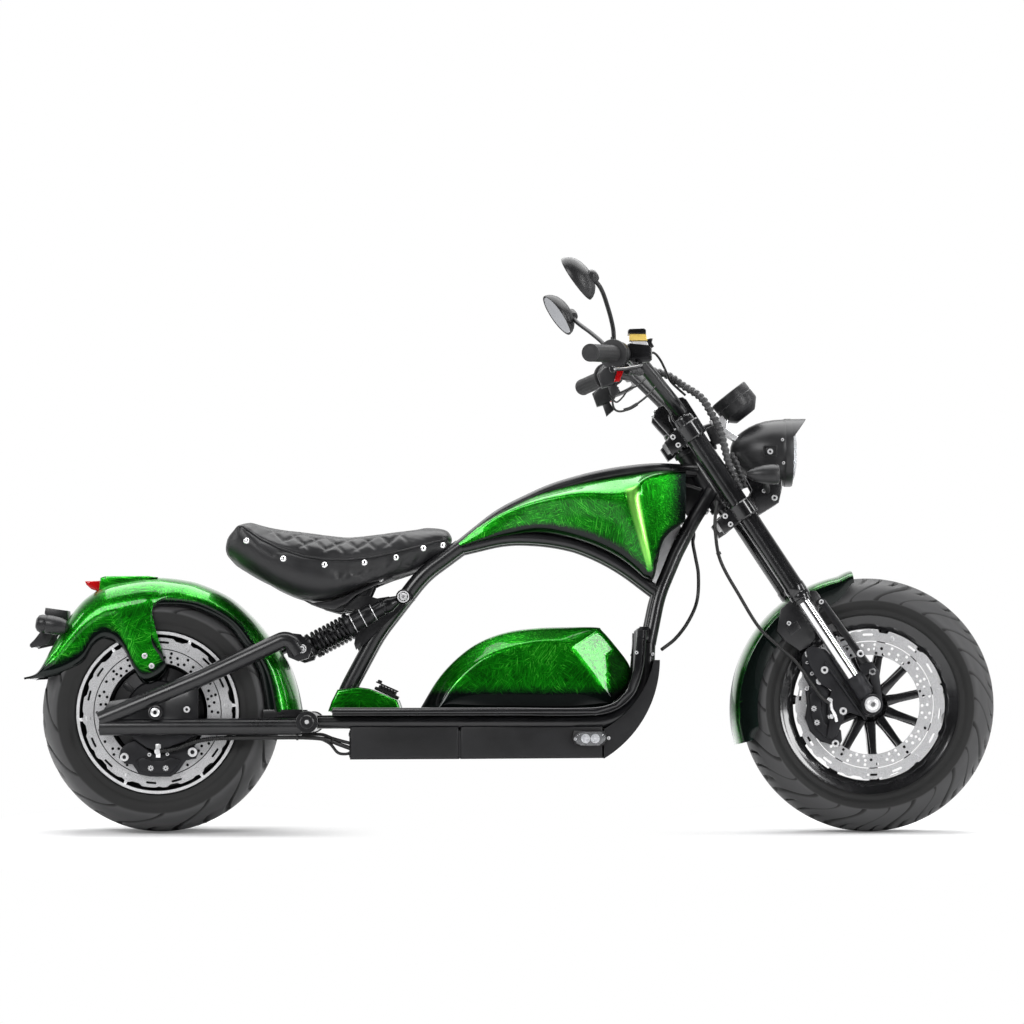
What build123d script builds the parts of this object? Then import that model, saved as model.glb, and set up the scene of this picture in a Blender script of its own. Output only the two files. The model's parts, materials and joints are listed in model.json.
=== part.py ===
"""Seated electric scooter, a low chopper with fat tyres.

Everything is drawn upright first: +X forward, +Y to the rider's left, +Z up, with the
rear axle at X = 0 and the floor at Z = 0. At the end the whole machine is leaned onto
its side stand and moved so that the origin is the bottom centre of its box.
"""

from build123d import *
import os
from math import cos, radians, sin, tan

# ---------------------------------------------------------------- driving dimensions
WHEELBASE = 1430
REAR_RADIUS = 240        # 215/40-12 tyre
REAR_HALF_WIDTH = 97
FRONT_RADIUS = 256       # 130/70-13 tyre
FRONT_HALF_WIDTH = 64
DISC_OUTER = 151
DISC_INNER = 101
DISC_THICKNESS = 5

RAKE = 33.3              # fork angle from the vertical, degrees
STEM_SETBACK = 26        # steering axis behind the fork legs
FORK_HALF_SPACING = 99
FORK_TUBE = 40
STANCHION = 27
LEG_TOP = 690            # distances up the fork leg from the front axle
UPPER_CLAMP_AT = 660
LOWER_CLAMP_AT = 467
TUBE_END_AT = 250
STANCHION_END_AT = 96

TOP_TUBE = 25
ARCH_TUBE = 24
SEAT_TUBE = 31
DOWN_TUBE = 29
RAIL_TUBE = 27
SWINGARM_TUBE = 34
SWINGARM_HALF_SPACING = 126
UPPER_FRAME_HALF_SPACING = 48
RAIL_HALF_SPACING = 94
RAIL_HEIGHT = 221
PIVOT_X = 302
PIVOT_BORE = 9

DECK_HALF_WIDTH = 138
DECK_THICKNESS = 8
DECK_LEVEL = 246         # top of the foot deck
BATTERY_HALF_WIDTH = 108
BATTERY_BOTTOM = 148

LEAN = 3.0               # lean to the left on the side stand, degrees
GAP = 0.1                # clearance between pieces that turn on each other

REAR_AXLE = (0, 0, REAR_RADIUS)
FRONT_AXLE = (WHEELBASE, 0, FRONT_RADIUS)
FORK = Location(FRONT_AXLE, (0, -RAKE, 0))   # local z runs up the leg, local x forward

parts = {}
round_up = (Align.CENTER, Align.CENTER, Align.MIN)


# ---------------------------------------------------------------- small helpers
def side_plate(face, y_low, y_high):
    """Thicken an outline drawn in X and Z between two distances from the centre."""
    return Pos(0, y_high, 0) * extrude(Plane.XZ * face, amount=y_high - y_low)


def polygon(*points):
    return make_face(Polyline(*points, close=True))


def both_sides(solid):
    """The solid and its mirror image across the centre plane, as separate solids."""
    return Compound([*solid.solids(), *mirror(solid, about=Plane.XZ).solids()])


def rod(start, end, diameter):
    """A straight round bar between two points."""
    start, end = Vector(*start), Vector(*end)
    base = Plane(origin=start, z_dir=end - start)
    return extrude(base * Circle(diameter / 2), amount=(end - start).length)


def bent_tube(points, radii, diameter):
    """A round tube along straight runs joined by tangent bends."""
    path = FilletPolyline(*points, radius=radii)
    section = Plane(origin=path @ 0, z_dir=path % 0) * Circle(diameter / 2)
    return sweep(section, path=path)


def soft_line(points, diameter, softness=0.45):
    """A hose or cable: each bend as large as its two runs allow."""
    radii = []
    for before, here, after in zip(points, points[1:], points[2:]):
        first = Vector(*here) - Vector(*before)
        second = Vector(*after) - Vector(*here)
        turn = radians(first.get_angle(second))
        radii.append(softness * min(first.length, second.length) / tan(turn / 2))
    return bent_tube(points, radii, diameter)


def disc_along_y(radius, x, z, y_low, y_high):
    """A round plate or boss whose axis runs across the machine."""
    return Pos(x, y_high, z) * extrude(Plane.XZ * Circle(radius), amount=y_high - y_low)


def turned(profile, axle):
    """Revolve (radius, side) points about a cross axle into a wheel-like ring."""
    outline = polygon(*profile)
    ring = revolve(Plane.XY * outline, axis=Axis.Y)
    return Pos(*axle) * ring


# ---------------------------------------------------------------- wheels
def tyre(radius, half_width, bead_radius, bead_half_width, shoulder, axle):
    """A round-crowned tyre: tread arc, shoulder, sidewall bulge and bead on both sides."""
    shoulder_y, shoulder_r = shoulder
    bulge_r = (shoulder_r + bead_radius) / 2 + 6
    right = Line((bead_radius, 0), (bead_radius, bead_half_width))
    wall = Spline((bead_radius, bead_half_width), (bulge_r, half_width), (shoulder_r, shoulder_y),
                  tangents=[(0.7, 0.7), (0.75, -0.66)])
    crown = ThreePointArc((shoulder_r, shoulder_y), (radius, 0), (shoulder_r, -shoulder_y))
    far_wall = Spline((shoulder_r, -shoulder_y), (bulge_r, -half_width), (bead_radius, -bead_half_width),
                      tangents=[(-0.75, -0.66), (-0.7, 0.7)])
    close = Line((bead_radius, -bead_half_width), (bead_radius, 0))
    outline = make_face(right + wall + crown + far_wall + close)
    return Pos(*axle) * revolve(outline, axis=Axis.Y)


REAR_BEAD = 158
REAR_RIM_HALF = 84
FRONT_BEAD = 178
FRONT_RIM_HALF = 47
REAR_DISC_Y = -92        # middle of the brake disc, on the right
FRONT_DISC_Y = -62


def brake_disc(y_middle, axle):
    ring = Circle(DISC_OUTER) - Circle(DISC_INNER)
    return Pos(axle[0], y_middle + DISC_THICKNESS / 2, axle[2]) * extrude(Plane.XZ * ring,
                                                                          amount=DISC_THICKNESS)


parts["rear_tyre"] = tyre(REAR_RADIUS, REAR_HALF_WIDTH, REAR_BEAD, REAR_RIM_HALF, (80, 222), REAR_AXLE)
parts["front_tyre"] = tyre(FRONT_RADIUS, FRONT_HALF_WIDTH, FRONT_BEAD, FRONT_RIM_HALF, (46, 245), FRONT_AXLE)

HUB_SIDE = -72           # face of the rear hub behind the disc
POST_RADIUS = 142        # ring of posts that carry each disc by its outer edge
POST_COUNT = 6


def disc_posts(y_wheel, y_disc, first_angle, axle):
    posts = []
    for k in range(POST_COUNT):
        angle = radians(first_angle + k * 360 / POST_COUNT)
        x = axle[0] + POST_RADIUS * cos(angle)
        z = axle[2] + POST_RADIUS * sin(angle)
        posts.append(disc_along_y(6, x, z, y_disc + DISC_THICKNESS / 2, y_wheel))
    return posts


REAR_BORE = 10 + GAP
rear_hub = turned([(REAR_BORE, -96), (34, -96), (40, -86), (46, -80), (50, -74), (98, HUB_SIDE), (150, HUB_SIDE),
                   (156, -84), (163, -88), (REAR_BEAD, -REAR_RIM_HALF), (REAR_BEAD, REAR_RIM_HALF), (163, 88),
                   (156, 84), (146, 74), (98, 70), (90, 84), (40, 90), (34, 96), (REAR_BORE, 96)], REAR_AXLE)
for post in disc_posts(HUB_SIDE, REAR_DISC_Y, 5, REAR_AXLE):
    rear_hub = rear_hub + post
parts["rear_hub_motor"] = rear_hub
parts["rear_tyre"] = parts["rear_tyre"] - rear_hub
parts["rear_disc"] = brake_disc(REAR_DISC_Y, REAR_AXLE)

front_barrel = turned([(137, -FRONT_RIM_HALF), (FRONT_BEAD + 5, -FRONT_RIM_HALF - 4),
                       (FRONT_BEAD, -FRONT_RIM_HALF), (FRONT_BEAD, FRONT_RIM_HALF),
                       (FRONT_BEAD + 5, FRONT_RIM_HALF + 4), (168, FRONT_RIM_HALF), (158, 30), (158, -36),
                       (137, -40)], FRONT_AXLE)
FRONT_BORE = 8 + GAP
front_hub = turned([(FRONT_BORE, -66), (24, -66), (34, -50), (34, 50), (24, 66), (FRONT_BORE, 66)], FRONT_AXLE)
SPOKE_COUNT = 11
SPOKE_WIDTH = 19
FIRST_SPOKE = 78
front_rim = front_barrel + front_hub
for k in range(SPOKE_COUNT):
    angle = FIRST_SPOKE + k * 360 / SPOKE_COUNT
    front_rim = front_rim + Pos(*FRONT_AXLE) * Rot(0, -angle, 0) * Pos(94, 0, 0) * Box(132, 34, SPOKE_WIDTH)
for post in disc_posts(-FRONT_RIM_HALF, FRONT_DISC_Y, -48, FRONT_AXLE):
    front_rim = front_rim + post
parts["front_rim"] = front_rim - disc_along_y(FRONT_BORE, WHEELBASE, FRONT_RADIUS, -80, 80)
parts["front_tyre"] = parts["front_tyre"] - parts["front_rim"]
parts["front_disc"] = brake_disc(FRONT_DISC_Y, FRONT_AXLE)

# ---------------------------------------------------------------- frame
HEAD_TUBE_OUTER = 42
HEAD_FROM = 492
HEAD_TO = 636
STEM = 24
HEAD_BASE = FORK * Pos(-STEM_SETBACK, 0, HEAD_FROM)
head_core = HEAD_BASE * Cylinder(HEAD_TUBE_OUTER / 2, HEAD_TO - HEAD_FROM, align=round_up)
parts["head_tube"] = head_core - HEAD_BASE * Cylinder(STEM / 2 + GAP, HEAD_TO - HEAD_FROM, align=round_up)

wide = UPPER_FRAME_HALF_SPACING
TOP_RUN = ([(604, -wide, 575), (686, -wide, 641), (790, -wide, 691), (900, -wide, 722), (1000, -36, 733),
            (1084, -14, 730)], [300, 420, 600, 300], TOP_TUBE)
ARCH_RUN = ([(604, -wide, 571), (700, -wide, 594), (800, -wide, 590), (900, -wide, 560), (1008, -52, 478)],
            [260, 420, 420], ARCH_TUBE)
DOWN_RUN = ([(1116, -16, 690), (1078, -24, 630), (1042, -36, 562), (1005, -54, 475), (985, -72, 378)],
            [300, 300, 300], DOWN_TUBE)
SEAT_TUBE_Y = 50
SEAT_RUN = ([(606, -wide, 575), (530, -50, 519), (438, -SEAT_TUBE_Y, 400), (378, -SEAT_TUBE_Y, 288),
             (358, -SEAT_TUBE_Y, 236)], [200, 300, 300], SEAT_TUBE)
top_tube = bent_tube(*TOP_RUN)
arch_tube = bent_tube(*ARCH_RUN)
down_tube = bent_tube(*DOWN_RUN)
seat_tube = bent_tube(*SEAT_RUN)
rail = bent_tube([(985, -72, 378), (978, -RAIL_HALF_SPACING, RAIL_HEIGHT),
                  (PIVOT_X, -RAIL_HALF_SPACING, RAIL_HEIGHT)], [110], RAIL_TUBE)

# tubes are coped: each stops where the next one begins, so that none runs into another
arch_tube = arch_tube - top_tube - seat_tube - down_tube
top_tube = top_tube - seat_tube - head_core
down_tube = down_tube - head_core
rail = rail - down_tube
parts["top_tubes"] = both_sides(top_tube)
parts["arch_tubes"] = both_sides(arch_tube)
parts["down_tubes"] = both_sides(down_tube)

pivot_sleeve = disc_along_y(20, PIVOT_X, RAIL_HEIGHT, -104, 104)
cross_bars = [rod((x, -RAIL_HALF_SPACING, RAIL_HEIGHT), (x, RAIL_HALF_SPACING, RAIL_HEIGHT), 22)
              for x in (366, 600, 860)]
deck_frame = rail + mirror(rail, about=Plane.XZ) + pivot_sleeve
for bar in cross_bars:
    deck_frame = deck_frame + bar
pivot_bolt_hole = disc_along_y(PIVOT_BORE, PIVOT_X, RAIL_HEIGHT, -120, 120)
parts["deck_frame"] = deck_frame - pivot_bolt_hole - seat_tube - mirror(seat_tube, about=Plane.XZ)

# ---------------------------------------------------------------- swingarm, shocks, rear axle
SWING_Y = SWINGARM_HALF_SPACING
SWING_LOWER_Z = 211
SHOCK_FOOT = (291, 367)
SHOCK_HEAD = (492, 472)
SHOCK_Y = 84
lower_arm = rod((-112, -SWING_Y, SWING_LOWER_Z), (PIVOT_X - 12, -SWING_Y, SWING_LOWER_Z + 1), SWINGARM_TUBE)
upper_arm = bent_tube([(-112, -SWING_Y, 225), (90, -SWING_Y, 309), (264, -SWING_Y, 390), (286, -SWING_Y, 358)],
                      [500, 22], SWINGARM_TUBE)
pivot_eye = disc_along_y(22, PIVOT_X, RAIL_HEIGHT, -SWING_Y - 18, -108.4)
dropout = side_plate(polygon((-80, 214), (70, 214), (70, 296), (-80, 224)), -SWING_Y - 5, -SWING_Y + 5)
shock_ear = side_plate(polygon((268, 398), (287, 393), (309, 369), (299, 349), (281, 345), (258, 361)),
                       -SWING_Y - 10, -SWING_Y + 19)
shock_ear = shock_ear + disc_along_y(13, *SHOCK_FOOT, -SWING_Y + 10, -SHOCK_Y - 12.4)
arm = lower_arm + upper_arm + pivot_eye + dropout
arm = arm - disc_along_y(PIVOT_BORE, PIVOT_X, RAIL_HEIGHT, -150, -100)
arm = arm - disc_along_y(10, 0, REAR_RADIUS, -150, -100)
arm = arm - disc_along_y(14, 0, REAR_RADIUS, -150, -SWING_Y - 5)
arm = arm - disc_along_y(14, 0, REAR_RADIUS, -SWING_Y + 5, -90)
bridge = rod((262, -SWING_Y, 214), (262, SWING_Y, 214), 24)
parts["swingarm"] = arm + mirror(arm, about=Plane.XZ) + bridge
pivot_bolt = disc_along_y(PIVOT_BORE, PIVOT_X, RAIL_HEIGHT, -144, 144)
AXLE_END = 13            # radius of the bright axle ends, caps and spacers
pivot_caps = both_sides(disc_along_y(AXLE_END, PIVOT_X, RAIL_HEIGHT, -150, -144))
axle_spacer = disc_along_y(AXLE_END, 0, REAR_RADIUS, -SWING_Y + 5, -97)
axle_nut = disc_along_y(AXLE_END, 0, REAR_RADIUS, -SWING_Y - 18, -SWING_Y - 5)
rear_axle = disc_along_y(10, 0, REAR_RADIUS, -SWING_Y - 5, SWING_Y + 5)
for piece in (axle_spacer, axle_nut):
    rear_axle = rear_axle + piece + mirror(piece, about=Plane.XZ)
right_cap, left_cap = pivot_caps.solids()
parts["rear_spindles"] = Compound([*rear_axle.solids(), *(pivot_bolt + right_cap + left_cap).solids()])


def along_shock(at):
    return tuple(SHOCK_FOOT[i] + (SHOCK_HEAD[i] - SHOCK_FOOT[i]) * at for i in (0, 1))


def shock_piece(start, end, diameter):
    a, b = along_shock(start), along_shock(end)
    return rod((a[0], -SHOCK_Y, a[1]), (b[0], -SHOCK_Y, b[1]), diameter)


shock = shock_piece(0.0, 0.08, 24) + shock_piece(0.08, 0.44, 48) + shock_piece(0.44, 0.62, 34)
shock = shock + shock_piece(0.62, 0.94, 30) + disc_along_y(15, *SHOCK_FOOT, -SHOCK_Y - 12, -SHOCK_Y + 12)
shock = shock + disc_along_y(15, *SHOCK_HEAD, -SHOCK_Y - 12, -SHOCK_Y + 12)
parts["shocks"] = both_sides(shock)

# the shock's upper ends are bolted to plates welded to the seat tubes
head_plate = side_plate(polygon((478, 470), (505, 485), (512, 470), (492, 452), (430, 395), (408, 372),
                                (400, 390)), -68, -SEAT_TUBE_Y - 8)
head_plate = head_plate + disc_along_y(12, *SHOCK_HEAD, -SHOCK_Y + 12.4, -67)
parts["seat_tubes"] = both_sides(seat_tube + head_plate)

# ---------------------------------------------------------------- deck and its covers
def bent_sheet(inner_z, thickness, start_x, radius, upright_x, top, half_width):
    """A sheet that runs level, sweeps up round a bend and stands upright at the front."""
    low, high = inner_z, inner_z + thickness
    under = FilletPolyline((start_x, 0, low), (upright_x + thickness, 0, low), (upright_x + thickness + 6, 0, top),
                           radius=radius + thickness)
    over = FilletPolyline((start_x, 0, high), (upright_x, 0, high), (upright_x + 6, 0, top), radius=radius)
    ends = Line(under @ 0, over @ 0) + Line(under @ 1, over @ 1)
    face = make_face(Wire([*under.edges(), *over.edges(), *ends.edges()]))
    return Pos(0, half_width, 0) * extrude(face, amount=2 * half_width, dir=(0, -1, 0))


foot_deck = bent_sheet(DECK_LEVEL - DECK_THICKNESS, DECK_THICKNESS, 352, 84, 956, 408, DECK_HALF_WIDTH)
parts["foot_deck"] = foot_deck - seat_tube - mirror(seat_tube, about=Plane.XZ)

battery_face = polygon((384, BATTERY_BOTTOM - 3), (893, BATTERY_BOTTOM), (893, 207), (384, 207))
parts["battery_box"] = fillet(side_plate(battery_face, -BATTERY_HALF_WIDTH, BATTERY_HALF_WIDTH)
                              .edges().filter_by(Axis.X), 6)

shroud_outer = ThreePointArc((894, 0, BATTERY_BOTTOM), (963, 0, 212), (1006, 0, 345))
shroud_inner = ThreePointArc((894, 0, 207), (954, 0, 258), (994, 0, 345))
shroud_face = make_face(Wire([shroud_outer.edge(), shroud_inner.edge(),
                              Line((894, 0, BATTERY_BOTTOM), (894, 0, 207)).edge(),
                              Line((1006, 0, 345), (994, 0, 345)).edge()]))
shroud = Pos(0, BATTERY_HALF_WIDTH, 0) * extrude(shroud_face, amount=2 * BATTERY_HALF_WIDTH, dir=(0, -1, 0))
rails_with_room = bent_tube([(985, -72, 375), (978, -RAIL_HALF_SPACING, RAIL_HEIGHT),
                             (700, -RAIL_HALF_SPACING, RAIL_HEIGHT)], [110], RAIL_TUBE + 1)
shroud = shroud - rails_with_room - mirror(rails_with_room, about=Plane.XZ)
parts["front_shroud"] = shroud

battery_cover_side = polygon((523, 247), (548, 286), (566, 314), (598, 347), (622, 369), (645, 383), (686, 399),
                             (726, 406), (807, 411), (868, 414), (886, 412), (929, 363), (948, 333), (941, 298),
                             (922, 270), (896, 252), (870, 247))
cover_section = make_face(Polyline((0, -80, 240), (0, -80, 320), (0, -62, 398), (0, -40, 420), (0, 40, 420),
                                   (0, 62, 398), (0, 80, 320), (0, 80, 240), close=True))
cover_prism = Pos(500, 0, 0) * extrude(cover_section, amount=480, dir=(1, 0, 0))
parts["battery_cover"] = side_plate(battery_cover_side, -90, 90) & cover_prism

rear_cover_side = polygon((337, 248), (357, 288), (366, 294), (424, 294), (470, 272), (487, 255), (487, 247),
                          (340, 247))
rear_cover = side_plate(rear_cover_side, -88, 88)
seat_points, _, _ = SEAT_RUN
seat_tube_room = bent_tube(seat_points[1:], [300, 300], SEAT_TUBE + 2)
rear_cover = rear_cover - seat_tube_room - mirror(seat_tube_room, about=Plane.XZ)
parts["rear_cover"] = rear_cover

port_plane = Plane(origin=(452, 0, 284.5), x_dir=(0.9, 0, -0.44), z_dir=(0.44, 0, 0.9))
port = extrude(port_plane * Rectangle(52, 40), amount=9) + extrude(port_plane * Circle(14), amount=18)
parts["charge_port"] = port - rear_cover

marker_plate = side_plate(polygon((826, 172), (896, 168), (908, 188), (900, 206), (830, 206)), -118, -112)
marker_lens = side_plate(Pos(866, 188) * Ellipse(32, 15), -134, -118)
marker_foot = side_plate(polygon((830, 176), (890, 176), (890, 202), (830, 202)), -112, -108.2)
side_markers = both_sides(marker_plate + marker_lens + marker_foot)

# ---------------------------------------------------------------- tank and seat
def section_loft(stations, make_section):
    """A closed skin through upright cross sections placed along the machine."""
    return loft([Plane(origin=(x, 0, 0), x_dir=(0, 1, 0), z_dir=(1, 0, 0)) * make_section(*values)
                 for x, *values in stations], ruled=True)


def tank_section(half_edge, half_ridge, low, ridge, high):
    """Six-sided section: narrow where it meets the tubes, widest along its crease."""
    return make_face(Polyline((-half_edge, high), (half_edge, high), (half_ridge, ridge), (half_edge, low),
                              (-half_edge, low), (-half_ridge, ridge), close=True))


# its lower edge rests just above the arch tubes, its upper edge is scooped out round the top tubes
tank = section_loft([(650, 61, 63, 598, 606, 612), (686, 62, 76, 604, 634, 648), (767, 63, 90, 606, 659, 688),
                     (847, 62, 99, 595, 671, 712), (900, 60, 102, 574, 677, 724), (948, 58, 104, 544, 680, 731),
                     (985, 54, 100, 516, 684, 736), (1040, 46, 74, 604, 690, 738), (1084, 36, 40, 672, 692, 722)],
                    tank_section)
TANK_GAP = 1
top_points, top_radii, _ = TOP_RUN
down_points, down_radii, _ = DOWN_RUN
top_room = bent_tube(top_points, top_radii, TOP_TUBE + 2 * TANK_GAP)
down_room = bent_tube(down_points, down_radii, DOWN_TUBE + 2 * TANK_GAP)
for room in (top_room, down_room):
    tank = tank - room - mirror(room, about=Plane.XZ)
tank = tank - HEAD_BASE * Cylinder(HEAD_TUBE_OUTER / 2 + TANK_GAP, 200, align=round_up)
parts["tank"] = tank.solids().sort_by(SortBy.VOLUME)[-1]


def seat_section(half_width, low, high):
    height = high - low
    return Pos(0, (low + high) / 2) * RectangleRounded(2 * half_width, height, min(height, 2 * half_width) * 0.3)


seat = section_loft([(133, 78, 556, 586), (148, 106, 544, 609), (176, 126, 525, 621), (220, 136, 496, 609),
                     (290, 138, 464, 593), (360, 131, 470, 585), (430, 118, 499, 587), (500, 103, 523, 602),
                     (550, 91, 546, 614), (572, 84, 558, 613), (587, 74, 567, 597)], seat_section)
seat_room = bent_tube([(612, -wide, 581.6), (530, -50, 520), (442, -SEAT_TUBE_Y, 400), (382, -SEAT_TUBE_Y, 288)],
                      [200, 300], SEAT_TUBE + 2)
seat_nose_room = bent_tube([(560, -wide, 539.7), (686, -wide, 641), (790, -wide, 691)], [300], TOP_TUBE + 3)
for tube in (seat_room, seat_nose_room):
    seat = seat - tube - mirror(tube, about=Plane.XZ)
parts["seat"] = seat.solids().sort_by(SortBy.VOLUME)[-1]

pan = side_plate(polygon((302, 463.5), (318, 459), (345, 462), (372, 472), (425, 496), (425, 478), (408, 458),
                         (372, 448), (330, 452)), -70, 70)
post = side_plate(polygon((404, 465), (424, 470), (430, 452), (404, 420)), -40, 40)
parts["seat_bracket"] = pan + post - parts["seat"] - seat_room - mirror(seat_room, about=Plane.XZ)

# ---------------------------------------------------------------- rear fender and what it carries
FENDER_INNER_Y = 103
FENDER_WALL = 3
crown = Spline((286, 241), (262, 330), (219, 393), (137, 474), (5, 513), (-107, 499), (-180, 443), (-220, 368),
               (-238, 326), (-268, 308))
skirt = Polyline((-268, 308), (-195, 316), (-152, 337), (-125, 375), (-104, 386), (-76, 372), (-26, 296),
                 (24, 326), (-14, 362), (-18, 425), (-4, 448), (60, 450), (135, 415), (175, 365), (202, 315),
                 (216, 241), (286, 241))
fender_face = make_face(Wire([*crown.edges(), *skirt.edges()]))
outer_shell = side_plate(fender_face, -FENDER_INNER_Y - FENDER_WALL, FENDER_INNER_Y + FENDER_WALL)
crown_line = Spline((283, 241), (259, 329), (217, 391), (135.5, 471.5), (5, 510), (-105.5, 496.5), (-177.5, 441.5),
                    (-217, 367), (-236, 322), (-262, 300))
below = Polyline((-262, 300), (-262, 100), (300, 100), (300, 241), (283, 241))
hollow = Wire([*crown_line.edges(), *below.edges()])
hollow_shell = side_plate(make_face(hollow), -FENDER_INNER_Y, FENDER_INNER_Y)
parts["rear_fender"] = outer_shell - hollow_shell

tail_housing = side_plate(polygon((-127, 505), (-120, 513), (-26, 514), (-30, 500)), -52, 52)
tail_lens = side_plate(polygon((-128, 490), (-158, 502), (-154, 508), (-120, 512.5)), -46, 46)
parts["tail_lamp"] = tail_housing + tail_lens - outer_shell

LAMP_BODY = 18
LAMP_SIDE = 92
tail_bracket = side_plate(polygon((-214, 384), (-226, 352), (-262, 372), (-262, 382), (-238, 428), (-214, 432),
                                  (-200, 424)), -16, 16)
lamp_rail = rod((-222, -74, 418), (-222, 74, 418), 14)
parts["plate_holder"] = (tail_bracket + lamp_rail) - outer_shell - hollow_shell


def bullet(tip, face, radius):
    """A bullet-shaped indicator body: round face at one end, blunt point at the other."""
    start, end = Vector(*face), Vector(*tip)
    length = (end - start).length
    base = Plane(origin=start, z_dir=end - start)
    side = Spline((radius, 0), (radius * 0.92, length * 0.45), (0, length), tangents=[(0, 1), (-1, 0.1)])
    outline = make_face(Wire([*side.edges(), *Polyline((0, length), (0, 0), (radius, 0)).edges()]))
    return base * revolve(Plane.XZ * outline, axis=Axis.Z)


rear_lamp = bullet((-178, -LAMP_SIDE, 410), (-246, -LAMP_SIDE, 420), LAMP_BODY)
rear_lamp = rear_lamp + (rod((-222, -74.2, 418), (-222, -LAMP_SIDE, 417), 10) - lamp_rail)
rear_lamps = both_sides(rear_lamp - outer_shell)
parts["marker_lamps"] = Compound([*side_markers.solids(), *rear_lamps.solids()])

# ---------------------------------------------------------------- brakes
CALIPER_GAP = 2
CALIPER_BRIDGE = DISC_INNER - 4      # the caliper crosses the disc inside its ring


def caliper(outline, axle, y_disc, y_outer, inner_thickness):
    """A caliper that reaches over the inner edge of its disc, on the right-hand side."""
    x, _, z = axle
    face_y = y_disc - DISC_THICKNESS / 2 - CALIPER_GAP
    back_y = y_disc + DISC_THICKNESS / 2 + CALIPER_GAP
    outer_half = side_plate(outline, y_outer, face_y)
    behind = side_plate(outline, face_y, back_y + inner_thickness)
    disc_room = disc_along_y(DISC_OUTER + 30, x, z, face_y, back_y)
    disc_room = disc_room - disc_along_y(CALIPER_BRIDGE, x, z, face_y - 1, back_y + 1)
    post_room = disc_along_y(DISC_OUTER + 30, x, z, face_y, back_y + inner_thickness + 1)
    post_room = post_room - disc_along_y(POST_RADIUS - 12, x, z, face_y - 1, back_y + inner_thickness + 2)
    return outer_half + (behind - disc_room - post_room)


rear_caliper_side = polygon((-70, 160), (-64, 142), (-44, 128), (-28, 116), (38, 116), (54, 134), (74, 152),
                            (78, 170), (60, 180), (36, 172), (20, 186), (-24, 186), (-40, 172), (-56, 176))
parts["rear_caliper"] = caliper(rear_caliper_side, REAR_AXLE, REAR_DISC_Y, -112, 6)
front_caliper_side = polygon((1297, 285), (1299, 215), (1310, 182), (1326, 168), (1362, 165), (1376, 180),
                             (1378, 205), (1360, 232), (1362, 292), (1346, 322), (1316, 322))
parts["front_caliper"] = caliper(front_caliper_side, FRONT_AXLE, FRONT_DISC_Y, -90, 5)

# ---------------------------------------------------------------- fork and clamps
leg = -FORK_HALF_SPACING


def on_leg(y, start, end, diameter):
    return FORK * Pos(0, y, start) * Cylinder(diameter / 2, end - start, align=round_up)


fork_tube = on_leg(leg, TUBE_END_AT, LEG_TOP, FORK_TUBE)
fork_tube = fork_tube + on_leg(leg, TUBE_END_AT, TUBE_END_AT + 34, FORK_TUBE + 3)
fork_tube = fork_tube - on_leg(leg, TUBE_END_AT - 1, 600, STANCHION + 2 * GAP)
parts["fork_tubes"] = both_sides(fork_tube)
parts["fork_stanchions"] = both_sides(on_leg(leg, STANCHION_END_AT, 596, STANCHION))

axle_boss = disc_along_y(21, WHEELBASE, FRONT_RADIUS, -119, -80)
foot = on_leg(leg, 22, STANCHION_END_AT, 38) + on_leg(leg, STANCHION_END_AT - 0.01, STANCHION_END_AT + 12, 36)
foot = foot + axle_boss + on_leg(leg, 0, 30, 34) - on_leg(leg, STANCHION_END_AT, 140, STANCHION)
stay_lug = side_plate(polygon((1421, 330), (1434, 333), (1444, 316), (1450, 262), (1430, 250), (1412, 292)),
                      -92, -80)
stanchion_room = on_leg(leg, STANCHION_END_AT, 200, STANCHION)
foot = foot + (stay_lug - stanchion_room) - disc_along_y(8, WHEELBASE, FRONT_RADIUS, -130, -60)
caliper_web = side_plate(polygon((1345, 318), (1372, 340), (1400, 300), (1432, 240), (1376, 232), (1356, 196),
                                 (1344, 204), (1352, 262)), -98, -90)
caliper_web = caliper_web - disc_along_y(8, WHEELBASE, FRONT_RADIUS, -130, -60) - stanchion_room
foot_left = mirror(foot, about=Plane.XZ)
parts["fork_feet"] = Compound([*(foot + caliper_web).solids(), *foot_left.solids()])
front_axle = disc_along_y(8, WHEELBASE, FRONT_RADIUS, -119, 119)
for piece in (disc_along_y(AXLE_END, WHEELBASE, FRONT_RADIUS, -127, -119),
              disc_along_y(12, WHEELBASE, FRONT_RADIUS, -80, -67)):
    front_axle = front_axle + piece + mirror(piece, about=Plane.XZ)
parts["front_axle"] = front_axle

CLAMP_ROUND = 52
CLAMP_HEIGHT = 32


def clamp(at):
    """A fork clamp: a round grip on each leg, a bridge between them and lugs behind with bolts."""
    base = FORK * Pos(0, 0, at - CLAMP_HEIGHT / 2)
    body = base * Pos(-20, 0, 4) * Box(46, 2 * FORK_HALF_SPACING - 30, CLAMP_HEIGHT - 8, align=round_up)
    for y in (leg, -leg):
        body = body + base * Pos(0, y, 0) * Cylinder(CLAMP_ROUND / 2, CLAMP_HEIGHT, align=round_up)
        body = body + base * Pos(-30, y, 2) * Box(40, 16, CLAMP_HEIGHT - 4, align=round_up)
    body = body + base * Pos(-STEM_SETBACK, 0, 0) * Cylinder(28, CLAMP_HEIGHT, align=round_up)
    for y in (leg, -leg):
        body = body - base * Pos(0, y, -1) * Cylinder(FORK_TUBE / 2, CLAMP_HEIGHT + 2, align=round_up)
    return body


stem = FORK * Pos(-STEM_SETBACK, 0, LOWER_CLAMP_AT) * Cylinder(STEM / 2, UPPER_CLAMP_AT - LOWER_CLAMP_AT + 26,
                                                              align=round_up)
lower_clamp = clamp(LOWER_CLAMP_AT) + stem
upper_clamp = clamp(UPPER_CLAMP_AT) - stem
parts["fork_clamps"] = Compound([*lower_clamp.solids(), *upper_clamp.solids()])

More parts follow.
